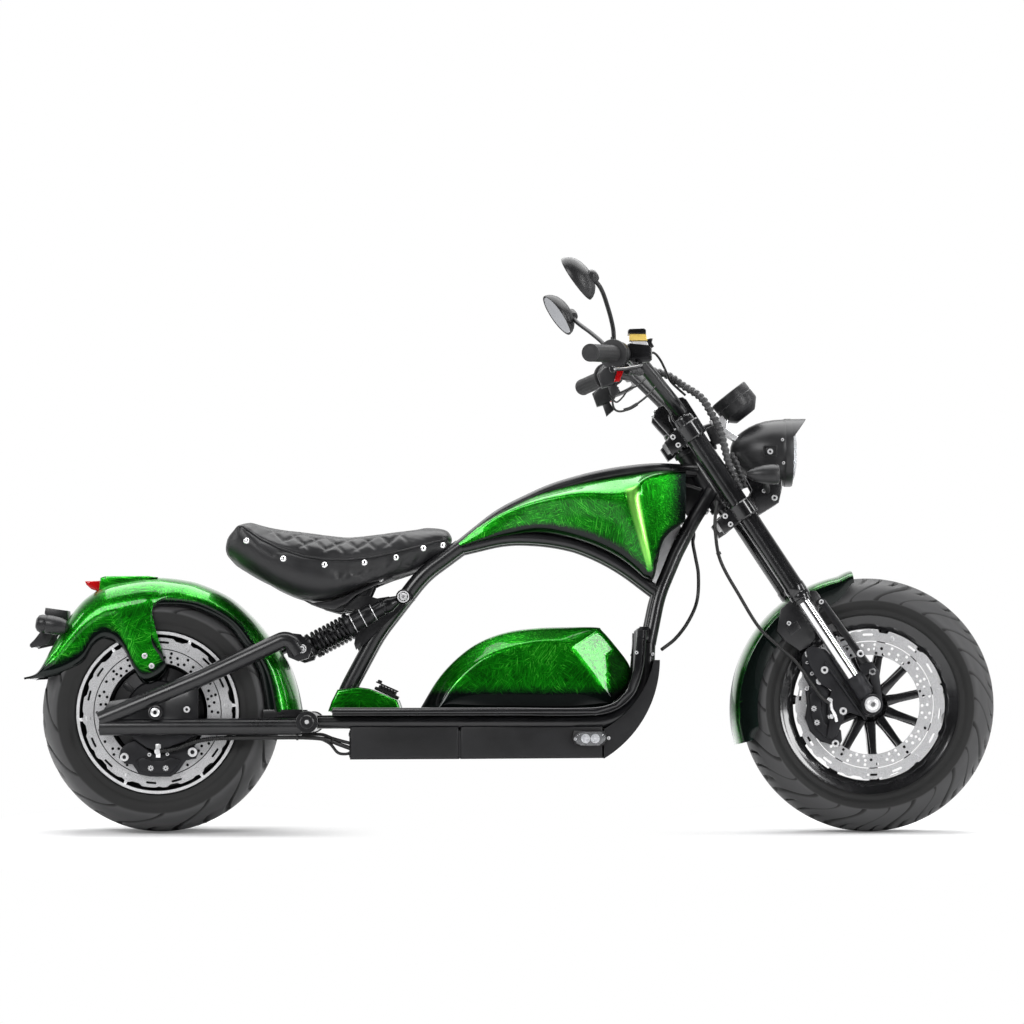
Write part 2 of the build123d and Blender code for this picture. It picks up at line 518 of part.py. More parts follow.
# ---------------------------------------------------------------- handlebar and controls
BAR = 28.6
GRIP_END = (863, -375, 936)
bar_half = bent_tube([(1056, 0, 840), (1056, -60, 840), (966, -150, 940), (930, -190, 951), GRIP_END],
                     [30, 40, 40], BAR)
handlebar = bar_half + mirror(bar_half, about=Plane.XZ)
risers = side_plate(polygon((1038, 862), (1058, 862), (1078, 842), (1092, 818), (1060, 796), (1036, 832)),
                    -70, -42)
risers = risers + mirror(risers, about=Plane.XZ) - handlebar - upper_clamp - stem
parts["handlebar"] = (handlebar - upper_clamp) + risers

grip_line = Vector(GRIP_END) - Vector(930, -190, 951)
grip_line = grip_line / grip_line.length


def on_bar(distance):
    """A point on the right grip, measured inwards from its end."""
    return tuple(Vector(GRIP_END) - grip_line * distance)


GRIP_LENGTH = 132
GRIP = 34
COLLAR = 58
COLLAR_END = 141
POD = 50
POD_FROM = 143
POD_TO = 174
bar_room = rod(on_bar(0), on_bar(190), BAR)
parts["grips"] = both_sides(rod(on_bar(-4), on_bar(GRIP_LENGTH), GRIP) - bar_room)
parts["grip_collars"] = both_sides(rod(on_bar(GRIP_LENGTH), on_bar(COLLAR_END), COLLAR) - bar_room)
pod_box = side_plate(polygon((900, 930), (922, 924), (944, 948), (936, 962), (906, 962)), -236, -208)
collar_room = rod(on_bar(100), on_bar(COLLAR_END + 1), COLLAR + 2)
pod = rod(on_bar(POD_FROM), on_bar(POD_TO), POD) + pod_box - bar_room - collar_room
parts["switch_pods"] = both_sides(pod)
both_pods = parts["switch_pods"].solids()
master = side_plate(polygon((936, 950), (974, 948), (976, 966), (970, 968), (970, 991), (938, 995), (936, 970)),
                    -206, -176)
lever = bent_tube([(958, -196, 936), (965, -236, 926), (932, -300, 912), (904, -352, 906)], [22, 60], 11)
perch = rod((950, -196, 950), (962, -204, 936), 16)
parts["brake_levers"] = both_sides((master + perch + lever) - handlebar - both_pods[0] - both_pods[1])

MIRROR_CENTRE = (836, -322, 1086)
MIRROR_FACING = (-0.86, 0.48, 0.05)
LEFT_MIRROR_BACK = 35    # the left mirror is turned further back
mirror_plane = Plane(origin=MIRROR_CENTRE, x_dir=(0.35, 0.5, -0.8), z_dir=MIRROR_FACING)
shell = scale(Sphere(1), by=(56, 37, 30)) & Pos(0, 0, -20) * Box(140, 100, 40)
mirror_head = mirror_plane * shell
stalk = bent_tube([(912, -207, 962), (914, -214, 1004), (872, -290, 1066)], [30], 9)
stalk = stalk + rod((911, -206, 956), (913, -208, 984), 18)
right_mirror = (stalk - mirror_head - handlebar - both_pods[0] - both_pods[1]) + mirror_head
left_head = Pos(-LEFT_MIRROR_BACK, 0, -4) * mirror(mirror_head, about=Plane.XZ)
left_stalk = bent_tube([(912, 207, 962), (910, 214, 1000), (872 - LEFT_MIRROR_BACK, 290, 1062)], [30], 9)
left_stalk = left_stalk + rod((911, 206, 956), (911, 208, 984), 18)
left_mirror = (left_stalk - left_head - handlebar - both_pods[0] - both_pods[1]) + left_head
parts["mirrors"] = Compound([*right_mirror.solids(), *left_mirror.solids()])

gauge_base = Plane(origin=(1150, 0, 888), z_dir=(-0.62, 0, 0.785))
cup = gauge_base * (Pos(0, 0, -36) * Cylinder(42, 36, align=round_up)
                    + Pos(0, 0, -50) * Cone(30, 42, 14, align=round_up))
cup = cup + (rod((1084, 0, 812), (1166, 0, 836), 12) - upper_clamp)
parts["gauge"] = cup

# ---------------------------------------------------------------- headlamp and front indicators
LAMP_Z = 768
LAMP_RADIUS = 68.5
lamp_side = Spline((1154, 0), (1172, 36), (1214, 62), (1278, LAMP_RADIUS), tangents=[(0, 1), (1, 0.03)])
lamp_face = make_face(Wire([*lamp_side.edges(), *Polyline((1278, LAMP_RADIUS), (1278, 0), (1154, 0)).edges()]))
bowl = Pos(0, 0, LAMP_Z) * revolve(Plane.XZ * lamp_face, axis=Axis.X)
peak = Pos(1278, 0, LAMP_Z) * Rot(0, 90, 0) * (Cylinder(LAMP_RADIUS, 30, align=round_up)
                                               - Cylinder(LAMP_RADIUS - 3, 30, align=round_up))
peak = peak & side_plate(polygon((1270, 794), (1278, 794), (1307, 834), (1307, 840), (1270, 840)), -70, 70)
parts["headlamp"] = bowl + peak
lens_side = Spline((1278.2, 63), (1287, 40), (1290, 0), tangents=[(0.4, -0.9), (0, -1)])
lens_face = make_face(Wire([*lens_side.edges(), *Polyline((1290, 0), (1278.2, 0), (1278.2, 63)).edges()]))
parts["headlamp_lens"] = Pos(0, 0, LAMP_Z) * revolve(Plane.XZ * lens_face, axis=Axis.X) - peak

lamp_plate = side_plate(polygon((1204, 712), (1256, 712), (1254, 672), (1218, 646), (1190, 634), (1176, 650)),
                        -36, -28)
lamp_bracket = lamp_plate + mirror(lamp_plate, about=Plane.XZ) - bowl - lower_clamp
# cutting the bowl out of a plate leaves a crumb behind it, so only the larger piece of each side is kept
right_of_centre = Pos(1200, -50, 680) * Box(400, 100, 400)
left_of_centre = Pos(1200, 50, 680) * Box(400, 100, 400)
parts["lamp_bracket"] = Compound([max((lamp_bracket & half).solids(), key=lambda piece: piece.volume)
                                  for half in (right_of_centre, left_of_centre)])
front_lamp = bullet((1180, -108, 716), (1246, -108, 718), 20)
front_lamp = front_lamp + rod((1227, -34, 688), (1216, -104, 714), 12) - lamp_plate
parts["front_indicators"] = both_sides(front_lamp.solids().sort_by(SortBy.VOLUME)[-1])

# ---------------------------------------------------------------- front fender and its stays
FENDER_CENTRE = (1427, 0, 247)
FENDER_RADIUS = 276
FENDER_HALF = 76
outer_curve = ThreePointArc((258, -FENDER_HALF), (FENDER_RADIUS, 0), (258, FENDER_HALF))
inner_curve = ThreePointArc((255, -FENDER_HALF + 3), (FENDER_RADIUS - 3, 0), (255, FENDER_HALF - 3))
rim_left = Polyline((258, FENDER_HALF), (243, FENDER_HALF), (243, FENDER_HALF - 3), (255, FENDER_HALF - 3))
rim_right = Polyline((258, -FENDER_HALF), (243, -FENDER_HALF), (243, -FENDER_HALF + 3), (255, -FENDER_HALF + 3))
fender_section = make_face(Wire([*outer_curve.edges(), *rim_left.edges(), *inner_curve.edges(),
                                 *rim_right.edges()]))
fender_arc = revolve(Rot(0, -195, 0) * (Plane.XY * fender_section), axis=Axis.Y, revolution_arc=98)
parts["front_fender"] = Pos(*FENDER_CENTRE) * fender_arc

stay_plate = side_plate(polygon((1258, 476), (1300, 500), (1345, 474), (1338, 445), (1330, 420), (1318, 365),
                                (1296, 368), (1262, 420)), -80, -FENDER_HALF - 0.2)
stay_bar = side_plate(polygon((1329, 467), (1343, 474), (1441, 325), (1426, 316)), -80, -76.2)
parts["fender_stays"] = both_sides((stay_plate + stay_bar) - on_leg(leg, 0, 690, FORK_TUBE + 5))

# ---------------------------------------------------------------- hoses and looms
LOOM = 12
HOSE = 7
bar_loom = soft_line([(966, -88, 930), (994, -86, 927), (1026, -78, 918), (1052, -70, 902), (1091, -60, 874),
                      (1115, -54, 838), (1131, -52, 801), (1141, -50, 770), (1149, -48, 740),
                      (1163, -46, 712)], LOOM)
lamp_loom = soft_line([(1160, -30, 752), (1166, -32, 736), (1172, -36, 716), (1180, -38, 696)], LOOM)
front_hose = soft_line([(1122, -104, 660), (1118, -106, 636), (1117, -110, 606), (1127, -112, 545),
                        (1167, -108, 471), (1207, -104, 405), (1267, -100, 353), (1307, -100, 305),
                        (1347, -99, 245)], HOSE)
solids_near_looms = parts["headlamp"] + lower_clamp
parts["steering_hoses"] = Compound([*bar_loom.solids(), *(lamp_loom - solids_near_looms).solids(),
                                    *front_hose.solids()])
down_hose = soft_line([(1073, -64, 612), (1083, -66, 570), (1089, -68, 517), (1085, -72, 467), (1066, -80, 424),
                       (1038, -88, 388), (1010, -93, 366)], HOSE)
rear_hose = soft_line([(4, -117, 160), (38, -119, 167), (87, -122, 180), (147, -124, 189), (227, -124, 189),
                       (307, -122, 189), (346, -112, 184), (376, -98, 178)], HOSE + 1)
parts["frame_hoses"] = Compound([*down_hose.solids(), *rear_hose.solids()])

# ---------------------------------------------------------------- side stand
STAND_PIVOT = (12, 152, 186)
STAND_AXIS = (0.126, 0.890, 0.437)
STAND_FOOT_XY = (50, 232)
lean = radians(LEAN)
TREAD_SETTLE = 0.4       # a round crown sinks this much as the machine leans
foot_z = STAND_FOOT_XY[1] * tan(lean) - TREAD_SETTLE
pivot, axis = Vector(*STAND_PIVOT), Vector(*STAND_AXIS)
foot_point = Vector(*STAND_FOOT_XY, foot_z)
down = (foot_point - pivot).normalized()
floor_up = Vector(0, -sin(lean), cos(lean))
pad = extrude(Plane(origin=foot_point, z_dir=floor_up) * Circle(24), amount=9)
stand_leg = rod(pivot + down * 6, foot_point + floor_up * 9 - down * 2, 18)
stand_head = rod(pivot - axis * 9, pivot + axis * 9, 30)
pin_hole = rod(pivot - axis * 20, pivot + axis * 20, 10 + 2 * GAP)
parts["side_stand"] = stand_head + stand_leg + pad - pin_hole
bracket = rod((12, 128, 200), pivot - axis * 9.5, 22) - rod(pivot - axis * 9.5, pivot + axis * 30, 40)
stand_pin = rod(pivot - axis * 12, pivot + axis * 12, 10) + rod(pivot + axis * 9.5, pivot + axis * 12.5, 18)
parts["swingarm"] = parts["swingarm"] + bracket + stand_pin

# ---------------------------------------------------------------- lean onto the stand and write
lean_over = Rot(-LEAN, 0, 0)
everything = Compound([lean_over * solid for shape in parts.values() for solid in shape.solids()])
box = everything.bounding_box()
PLACE = Pos(-(box.min.X + box.max.X) / 2, -(box.min.Y + box.max.Y) / 2, -box.min.Z) * lean_over

os.makedirs("parts", exist_ok=True)
for name, shape in parts.items():
    export_step(Compound([PLACE * solid for solid in shape.solids()]), f"parts/{name}.step")
size = box.size
print(f"{len(parts)} pieces, {size.X:.0f} x {size.Y:.0f} x {size.Z:.0f} mm")
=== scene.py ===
# %% [markdown]
# # A seated electric scooter, dressed piece by piece
#
# The construction model gives every piece its size and place. This lesson loads it as a fixed
# frame, and then makes what the eye reads: rounded painted skins, a stuffed and quilted seat,
# grooved tyres, drilled discs, springs, bolts and cables. The studio comes last.
#
# The scooter is parked on its side stand, so it leans a little to its left. It is easier to model
# it standing upright, in millimetres, with the rear axle above X = 0, and to lean each finished
# mesh at the very end. One matrix does that for every piece.

# %% Load the frame and find the lean
import json
from bisect import bisect_right
from math import atan2, copysign, cos, degrees, pi, radians, sin

import bmesh
import bpy
from mathutils import Matrix, Vector
from mathutils.bvhtree import BVHTree


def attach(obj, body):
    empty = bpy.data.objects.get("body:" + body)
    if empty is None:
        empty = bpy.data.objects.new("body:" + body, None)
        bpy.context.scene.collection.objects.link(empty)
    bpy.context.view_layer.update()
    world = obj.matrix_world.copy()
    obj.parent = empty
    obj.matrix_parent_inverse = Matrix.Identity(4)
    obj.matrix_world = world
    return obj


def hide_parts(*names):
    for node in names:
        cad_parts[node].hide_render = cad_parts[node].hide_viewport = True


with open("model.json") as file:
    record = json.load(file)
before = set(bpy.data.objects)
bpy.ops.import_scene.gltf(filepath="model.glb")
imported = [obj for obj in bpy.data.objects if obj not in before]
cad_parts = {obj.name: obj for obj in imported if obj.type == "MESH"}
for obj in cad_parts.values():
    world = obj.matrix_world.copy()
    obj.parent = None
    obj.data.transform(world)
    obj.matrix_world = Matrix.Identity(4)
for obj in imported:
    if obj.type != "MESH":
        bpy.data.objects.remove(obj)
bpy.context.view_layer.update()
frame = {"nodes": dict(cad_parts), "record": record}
joints = {joint["name"]: joint for joint in frame["record"]["behaviour"]["joints"]}
cross_axis = Vector(joints["rear_wheel_spin"]["axis"])
rear_axle = Vector(joints["rear_wheel_spin"]["pos_m"])
MM = 0.001
REAR_RADIUS = 240
FRONT_RADIUS = 256
WHEELBASE = 1430

forward = Vector((1, 0, 0))
upward = forward.cross(cross_axis)
LEANED = Matrix((forward, cross_axis, upward)).transposed().to_4x4()
LEANED = Matrix.Translation(rear_axle - upward * REAR_RADIUS * MM) @ LEANED @ Matrix.Scale(MM, 4)

# %% [markdown]
# ## Making finishes
#
# A finish is a small node tree on a Principled shader. Three helpers keep each recipe short: one
# adds a node and sets its sockets, one wires two nodes, and one starts a new material with the
# object's own coordinates ready. Everything here reads Object coordinates, so a pattern stays on
# its piece when a wheel turns or the bars steer.

# %% Helpers for node trees
def start_finish(name):
    material = bpy.data.materials.new(name)
    material.use_nodes = True
    shader = material.node_tree.nodes["Principled BSDF"]
    place = material.node_tree.nodes.new("ShaderNodeTexCoord")
    return material, shader, place.outputs["Object"]


def put(material, kind, settings=None, **sockets):
    """Add a node. Sockets are named with _ for a space; a socket's value may be another socket."""
    node = material.node_tree.nodes.new("ShaderNode" + kind)
    for name, value in (settings or {}).items():
        setattr(node, name, value)
    for name, value in sockets.items():
        socket = node.inputs[int(name[1:])] if name[0] == "_" else node.inputs[name.replace("_", " ")]
        plug(material, value, socket)
    return node


def plug(material, value, socket):
    if isinstance(value, bpy.types.NodeSocket):
        material.node_tree.links.new(value, socket)
    else:
        socket.default_value = value


def shade(shader, **values):
    for name, value in values.items():
        shader.inputs[name.replace("_", " ")].default_value = value


def ramp(material, factor, *stops):
    """A colour ramp from (position, colour) stops."""
    node = put(material, "ValToRGB", Fac=factor)
    edges = node.color_ramp.elements
    while len(edges) < len(stops):
        edges.new(0.5)
    for edge, (position, colour) in zip(edges, stops):
        edge.position = position
        edge.color = (*colour, 1) if len(colour) == 3 else colour
    return node.outputs["Color"]


def grain(material, coordinates, scale, detail=4.0, roughness=0.6):
    return put(material, "TexNoise", Vector=coordinates, Scale=scale, Detail=detail,
               Roughness=roughness).outputs["Fac"]


def emboss(material, shader, height, strength, distance):
    bump = put(material, "Bump", Height=height, Strength=strength, Distance=distance)
    plug(material, bump.outputs["Normal"], shader.inputs["Normal"])


def span(material, value, low, high, to_low, to_high):
    return put(material, "MapRange", _0=value, From_Min=low, From_Max=high, To_Min=to_low,
               To_Max=to_high).outputs["Result"]


# %% [markdown]
# ## Candy green over needles
#
# The covers are sprayed with a transparent green over a base of fine straight needles. They lie in
# clumps a few centimetres wide, each clump pointing its own way, like frost on a window. A Voronoi
# pattern gives the clumps, its random cell colour turns the coordinates about the cross axis, and
# a noise drawn out along the turned direction gives the needles. Three layers of different size are
# laid over each other, and the brightest wins. A broad cloud makes some areas deeper than others.
#
# The paint is metallic under a thick clear coat, so it is lively where it faces the light and goes
# nearly black elsewhere. Towards the edges it goes to black, where the vertex number says.
# Below zero, the same number paints a light yellow-green band along the tank's upright ridge, a painted
# highlight where the ridge catches the light.

# %% The green lacquer
def needles(material, coordinates, clump_scale, needle_scale, stretch):
    wobble = put(material, "TexNoise", Vector=coordinates, Scale=clump_scale, Detail=2.0)
    bent = put(material, "VectorMath", {"operation": "MULTIPLY_ADD"}, _0=wobble.outputs["Color"],
               _1=(0.02, 0.02, 0.02), _2=coordinates)
    cells = put(material, "TexVoronoi", Vector=bent.outputs["Vector"], Scale=clump_scale, Randomness=1.0)
    angle = put(material, "Math", {"operation": "MULTIPLY"}, _0=cells.outputs["Color"], _1=40.0)
    turned = put(material, "VectorRotate", {"rotation_type": "Y_AXIS"}, Vector=coordinates,
                 Angle=angle.outputs["Value"])
    drawn = put(material, "Mapping", Vector=turned.outputs["Vector"], Scale=(stretch, 0.5, 1.0))
    return put(material, "TexNoise", Vector=drawn.outputs["Vector"], Scale=needle_scale, Detail=2.0,
               Roughness=0.5).outputs["Fac"]


def green_lacquer(name):
    material, shader, here = start_finish(name)
    layers = [needles(material, here, 14.0, 620.0, 0.022), needles(material, here, 24.0, 850.0, 0.030),
              needles(material, here, 40.0, 1200.0, 0.045)]
    most = put(material, "Math", {"operation": "MAXIMUM"}, _0=layers[0], _1=layers[1]).outputs["Value"]
    most = put(material, "Math", {"operation": "MAXIMUM"}, _0=most, _1=layers[2]).outputs["Value"]
    cloud = grain(material, here, 9.0, 3.0, 0.5)
    lively = put(material, "Math", {"operation": "MULTIPLY_ADD"}, _0=cloud, _1=0.30, _2=most).outputs["Value"]
    colour = ramp(material, lively, (0.60, (0.0, 0.050, 0.0)), (0.72, (0.001, 0.17, 0.001)),
                  (0.82, (0.008, 0.36, 0.006)), (0.93, (0.14, 0.88, 0.07)))
    dark = put(material, "Attribute", {"attribute_name": "dark"}).outputs["Fac"]
    ragged = put(material, "Math", {"operation": "MULTIPLY_ADD"}, _0=most, _1=-0.9, _2=dark).outputs["Value"]
    black = span(material, ragged, -0.42, 0.30, 0.0, 1.0)
    # Painted highlight: where the number is below zero, the paint turns light yellow-green along the tank's
    # ridge.
    painted_highlight = span(material, dark, -1.0, 0.0, 0.8, 0.0)
    with_painted_highlight = put(material, "Mix", {"data_type": "RGBA"}, _0=painted_highlight, _6=colour, _7=(0.30, 0.86, 0.13, 1))
    mixed = put(material, "Mix", {"data_type": "RGBA"}, _0=black, _6=with_painted_highlight.outputs[2],
                _7=(0.001, 0.004, 0.003, 1))
    plug(material, mixed.outputs[2], shader.inputs["Base Color"])
    shade(shader, Metallic=0.92, Roughness=0.34, Coat_Weight=1.0, Coat_Roughness=0.03, Coat_IOR=1.33)
    emboss(material, shader, lively, 0.3, 0.0004)
    return material


# %% [markdown]
# ## Blacks, metals and rubber
#
# Most of the machine is black, and what tells one black from another is its gloss and its grain:
# powder coat is satin with a fine orange peel, castings are dull and pitted, moulded plastic has
# a soft grain, and a shell is glossy. One recipe with a few numbers makes them all.

# %% The plain finishes
ROUGHNESS_SPREAD = 0.06


def coated(name, colour, roughness, metallic=0.0, grain_scale=900.0, relief=0.15, coat=0.0):
    material, shader, here = start_finish(name)
    fine = grain(material, here, grain_scale)
    broad = grain(material, here, 14.0, 3.0)
    worn = span(material, broad, 0.3, 0.7, roughness - ROUGHNESS_SPREAD, roughness + ROUGHNESS_SPREAD)
    plug(material, worn, shader.inputs["Roughness"])
    darker = tuple(channel * 0.75 for channel in colour)
    lighter = tuple(min(1.0, channel * 1.25) for channel in colour)
    plug(material, ramp(material, broad, (0.35, darker), (0.65, lighter)), shader.inputs["Base Color"])
    shade(shader, Metallic=metallic, Coat_Weight=coat, Coat_Roughness=0.08, Specular_IOR_Level=0.4)
    emboss(material, shader, fine, relief, 0.0002)
    return material


def ground_metal(name, colour, roughness, stretch, metallic, relief=0.08):
    """Metal with fine scratches drawn along one direction."""
    material, shader, here = start_finish(name)
    drawn = put(material, "Mapping", Vector=here, Scale=stretch)
    lines = grain(material, drawn.outputs["Vector"], 500.0, 3.0)
    plug(material, span(material, lines, 0.3, 0.7, roughness * 0.7, roughness * 1.3),
         shader.inputs["Roughness"])
    dull = tuple(channel * 0.85 for channel in colour)
    plug(material, ramp(material, lines, (0.3, dull), (0.7, colour)), shader.inputs["Base Color"])
    shade(shader, Metallic=metallic)
    emboss(material, shader, lines, relief, 0.0001)
    return material


def tyre_rubber(name):
    """Tread a little grey, partly dust and partly a painted highlight; grooves black as a painted shade, and
    sidewall black, where the vertex number says.
    """
    material, shader, here = start_finish(name)
    dark = put(material, "Attribute", {"attribute_name": "dark"}).outputs["Fac"]
    # The tread's lightest grey is partly dust and partly a painted highlight; the blackest stop is the
    # sidewall and the painted shade in the grooves.
    tint = ramp(material, dark, (0.0, (0.042, 0.042, 0.043)), (0.6, (0.010, 0.010, 0.010)),
                (1.0, (0.002, 0.002, 0.002)))
    plug(material, tint, shader.inputs["Base Color"])
    plug(material, span(material, dark, 0.0, 1.0, 0.50, 0.66), shader.inputs["Roughness"])
    shade(shader, Specular_IOR_Level=0.4)
    emboss(material, shader, grain(material, here, 800.0), 0.3, 0.0002)
    return material


COATS = {    # colour, roughness, and what differs from a plain coat
    "frame_black": ((0.007, 0.007, 0.008), 0.32, {"relief": 0.10, "coat": 0.2}),
    "black_alloy": ((0.010, 0.010, 0.011), 0.24, {"metallic": 0.35, "relief": 0.05, "coat": 0.7}),
    "dark_alloy": ((0.014, 0.014, 0.016), 0.44, {"metallic": 0.5, "grain_scale": 500.0, "relief": 0.35}),
    "motor_alloy": ((0.006, 0.006, 0.007), 0.34, {"metallic": 0.3}),
    "spring_steel": ((0.009, 0.009, 0.010), 0.28, {"metallic": 0.4}),
    "grip_rubber": ((0.016, 0.016, 0.017), 0.60, {"grain_scale": 600.0, "relief": 0.5}),
    "hose_rubber": ((0.007, 0.007, 0.007), 0.42, {}),
    "deck_plastic": ((0.007, 0.007, 0.008), 0.40, {"grain_scale": 1200.0, "relief": 0.35}),
    "battery_case": ((0.004, 0.004, 0.005), 0.48, {"grain_scale": 1500.0, "relief": 0.3}),
    "black_plastic": ((0.010, 0.010, 0.011), 0.38, {"grain_scale": 1300.0, "relief": 0.12}),
    "black_gloss": ((0.022, 0.022, 0.023), 0.36, {"grain_scale": 1200.0, "relief": 0.06, "metallic": 0.3}),
    "seat_leather": ((0.011, 0.011, 0.012), 0.40, {"grain_scale": 700.0, "relief": 0.4}),
    "spiral_wrap": ((0.035, 0.035, 0.036), 0.34, {"relief": 0.05}),
    "grey_primer": ((0.70, 0.70, 0.71), 0.55, {})}
METALS = {    # colour, roughness, how far the grinding is drawn out on each axis, metallic, relief
    "disc_steel": ((0.62, 0.62, 0.63), 0.30, (3.0, 1.0, 3.0), 0.6, 0.01),
    "bright_steel": ((0.88, 0.88, 0.89), 0.22, (1.0, 1.0, 1.0), 0.5, 0.08),
    "chrome": ((0.90, 0.90, 0.91), 0.09, (1.0, 1.0, 0.1), 0.95, 0.08)}
FINISH = {name: coated(name, colour, roughness, **rest) for name, (colour, roughness, rest) in COATS.items()}
FINISH.update({name: ground_metal(name, *numbers) for name, numbers in METALS.items()})
FINISH["tyre"] = tyre_rubber("tyre")
FINISH["green_paint"] = green_lacquer("green_paint")


def glassy(name, colour, roughness, transmission, metallic=0.0, ribs=0.0):
    """Lenses, windows and mirror glass. Ribs are the upright flutes of a lamp glass."""
    material, shader, here = start_finish(name)
    cloudy = grain(material, here, 60.0, 2.0)
    tint = tuple(channel * 0.9 for channel in colour)
    plug(material, ramp(material, cloudy, (0.3, tint), (0.7, colour)), shader.inputs["Base Color"])
    shade(shader, Roughness=roughness, Transmission_Weight=transmission, IOR=1.45, Metallic=metallic)
    if ribs:
        flutes = put(material, "TexWave", {"bands_direction": "Y"}, Vector=here, Scale=ribs)
        emboss(material, shader, flutes.outputs["Fac"], 0.5, 0.001)
    return material


FINISH["clear_lens"] = glassy("clear_lens", (0.95, 0.97, 1.0), 0.05, 0.9, ribs=60.0)
FINISH["red_lens"] = glassy("red_lens", (0.55, 0.004, 0.006), 0.12, 0.35)
FINISH["brake_fluid"] = glassy("brake_fluid", (0.85, 0.62, 0.16), 0.10, 0.25)
FINISH["mirror_glass"] = glassy("mirror_glass", (0.85, 0.87, 0.90), 0.03, 0.0, metallic=1.0)

for entry in frame["record"]["subparts"]:
    node = frame["nodes"][entry["node"]]
    for place in node.material_slots:
        place.material = FINISH[entry["material_slot"]]
print(len(FINISH), "finishes on", len(frame["nodes"]), "pieces of the frame")

# %% [markdown]
# ## Ways of making a shape
#
# Nearly everything here is one of five things. A slab is an outline raised to a thickness, with its
# edges rounded. A turned part is a profile spun round an axis. A sheet is a grid laid on a surface
# that a formula describes, which suits painted skins and tyres. A bar is a round section carried
# along a smooth line. A screw is a small turned part that is stamped wherever one is needed.
#
# Slabs and turned parts are built flat, in X and Y with their height along Z, and then stamped
# onto the machine. `facing` gives the seat that turns that height towards any direction.

# %% Shape helpers
def line_through(points, even=False):
    """A smooth line through points, read with t from 0 to 1. Even gives each point the same share of t."""
    spots = [Vector(point) for point in points]
    last = len(spots) - 1
    marks = [0.0]
    for here, there in zip(spots, spots[1:]):
        marks.append(marks[-1] + (1.0 if even else (there - here).length))
    slopes = []
    for i in range(last + 1):
        before, after = max(i - 1, 0), min(i + 1, last)
        slopes.append((spots[after] - spots[before]) / (marks[after] - marks[before]))

    def at(t):
        i = min(max(bisect_right(marks, t * marks[-1]) - 1, 0), last - 1)
        gap = marks[i + 1] - marks[i]
        w = (t * marks[-1] - marks[i]) / gap
        start = spots[i] * ((1 + 2 * w) * (1 - w) ** 2) + slopes[i] * (gap * w * (1 - w) ** 2)
        return start + spots[i + 1] * (w * w * (3 - 2 * w)) + slopes[i + 1] * (gap * w * w * (w - 1))
    return at


def flat_line(points):
    """An even line through points in the plane of the machine."""
    return line_through([(*point, 0) for point in points], even=True)


def ease(value, low, high):
    """0 below low, 1 above high, and a smooth step between."""
    w = min(max((value - low) / (high - low), 0.0), 1.0)
    return w * w * (3 - 2 * w)


def facing(place, aim):
    """The seat that puts a part at a place with its height along aim."""
    return Matrix.Translation(place) @ Vector((0, 0, 1)).rotation_difference(Vector(aim)).to_matrix().to_4x4()


RIGHT = facing((0, 0, 0), (0, -1, 0))    # a flat part's X and Y become the machine's X and Z
FLIPPED = Matrix.Scale(-1, 4, (0, 1, 0))


def on_side(x, z, out):
    """The seat of a flat part on the right-hand side, some way out from the middle."""
    return RIGHT @ Matrix.Translation((x, z, out))


def spun(angle):
    return Matrix.Rotation(radians(angle), 4, "Z")


def smooth(shape, corners, factor=0.5):
    bmesh.ops.smooth_vert(shape, verts=corners, factor=factor, use_axis_x=True, use_axis_y=True,
                          use_axis_z=True)


def close_holes(shape):
    bmesh.ops.holes_fill(shape, edges=[edge for edge in shape.edges if edge.is_boundary], sides=0)


def thicken(skin, thickness):
    """Face a skin outwards, then give it a wall."""
    bmesh.ops.recalc_face_normals(skin, faces=skin.faces)
    bmesh.ops.solidify(skin, geom=skin.faces[:], thickness=thickness)


def slab(outline, low, high, edge=0.0, segments=2, holes=()):
    """A plate with holes, from low to high, with both rims rounded."""
    part = bmesh.new()
    rims = []
    for ring in (outline, *holes):
        corners = [part.verts.new((x, y, low)) for x, y in ring]
        rims += [part.edges.new(ends) for ends in zip(corners, corners[1:] + corners[:1])]
    bmesh.ops.triangle_fill(part, edges=rims, use_beauty=True)
    grown = bmesh.ops.extrude_face_region(part, geom=part.faces[:], use_keep_orig=True)["geom"]
    bmesh.ops.translate(part, verts=[one for one in grown if isinstance(one, bmesh.types.BMVert)],
                        vec=(0, 0, high - low))
    bmesh.ops.recalc_face_normals(part, faces=part.faces)
    if edge:
        part.normal_update()
        sharp = [one for one in part.edges if one.is_manifold and one.calc_face_angle() > 1.2
                 and abs(one.verts[0].co.z - one.verts[1].co.z) < 1e-6]
        bmesh.ops.bevel(part, geom=sharp, offset=edge, offset_type="OFFSET", segments=segments, profile=0.5,
                        affect="EDGES", material=-1, clamp_overlap=True)
    return part


def turned(profile, steps=64, closed=None):
    """A profile of (radius, height) points spun round Z. One that starts off the axis is closed to a ring."""
    if closed is None:
        closed = profile[0][0] > 0
    part = bmesh.new()
    row = [part.verts.new((radius, 0, height)) for radius, height in profile]
    rim = [part.edges.new(ends) for ends in zip(row, row[1:] + (row[:1] if closed else []))]
    bmesh.ops.spin(part, geom=row + rim, cent=(0, 0, 0), axis=(0, 0, 1), angle=2 * pi, steps=steps,
                   use_merge=True)
    bmesh.ops.remove_doubles(part, verts=part.verts, dist=0.01)
    return part


def sheet(columns, rows, surface):
    """A grid on a surface that two numbers from 0 to 1 give. A fourth coordinate is how dark the paint is."""
    part = bmesh.new()
    dark = part.verts.layers.float.new("dark")
    made = bmesh.ops.create_grid(part, x_segments=columns, y_segments=rows, size=0.5)["verts"]
    for corner in made:
        spot = surface(corner.co.x + 0.5, corner.co.y + 0.5)
        corner.co = spot.xyz
        corner[dark] = spot[3] if len(spot) == 4 else 0.0
    return part


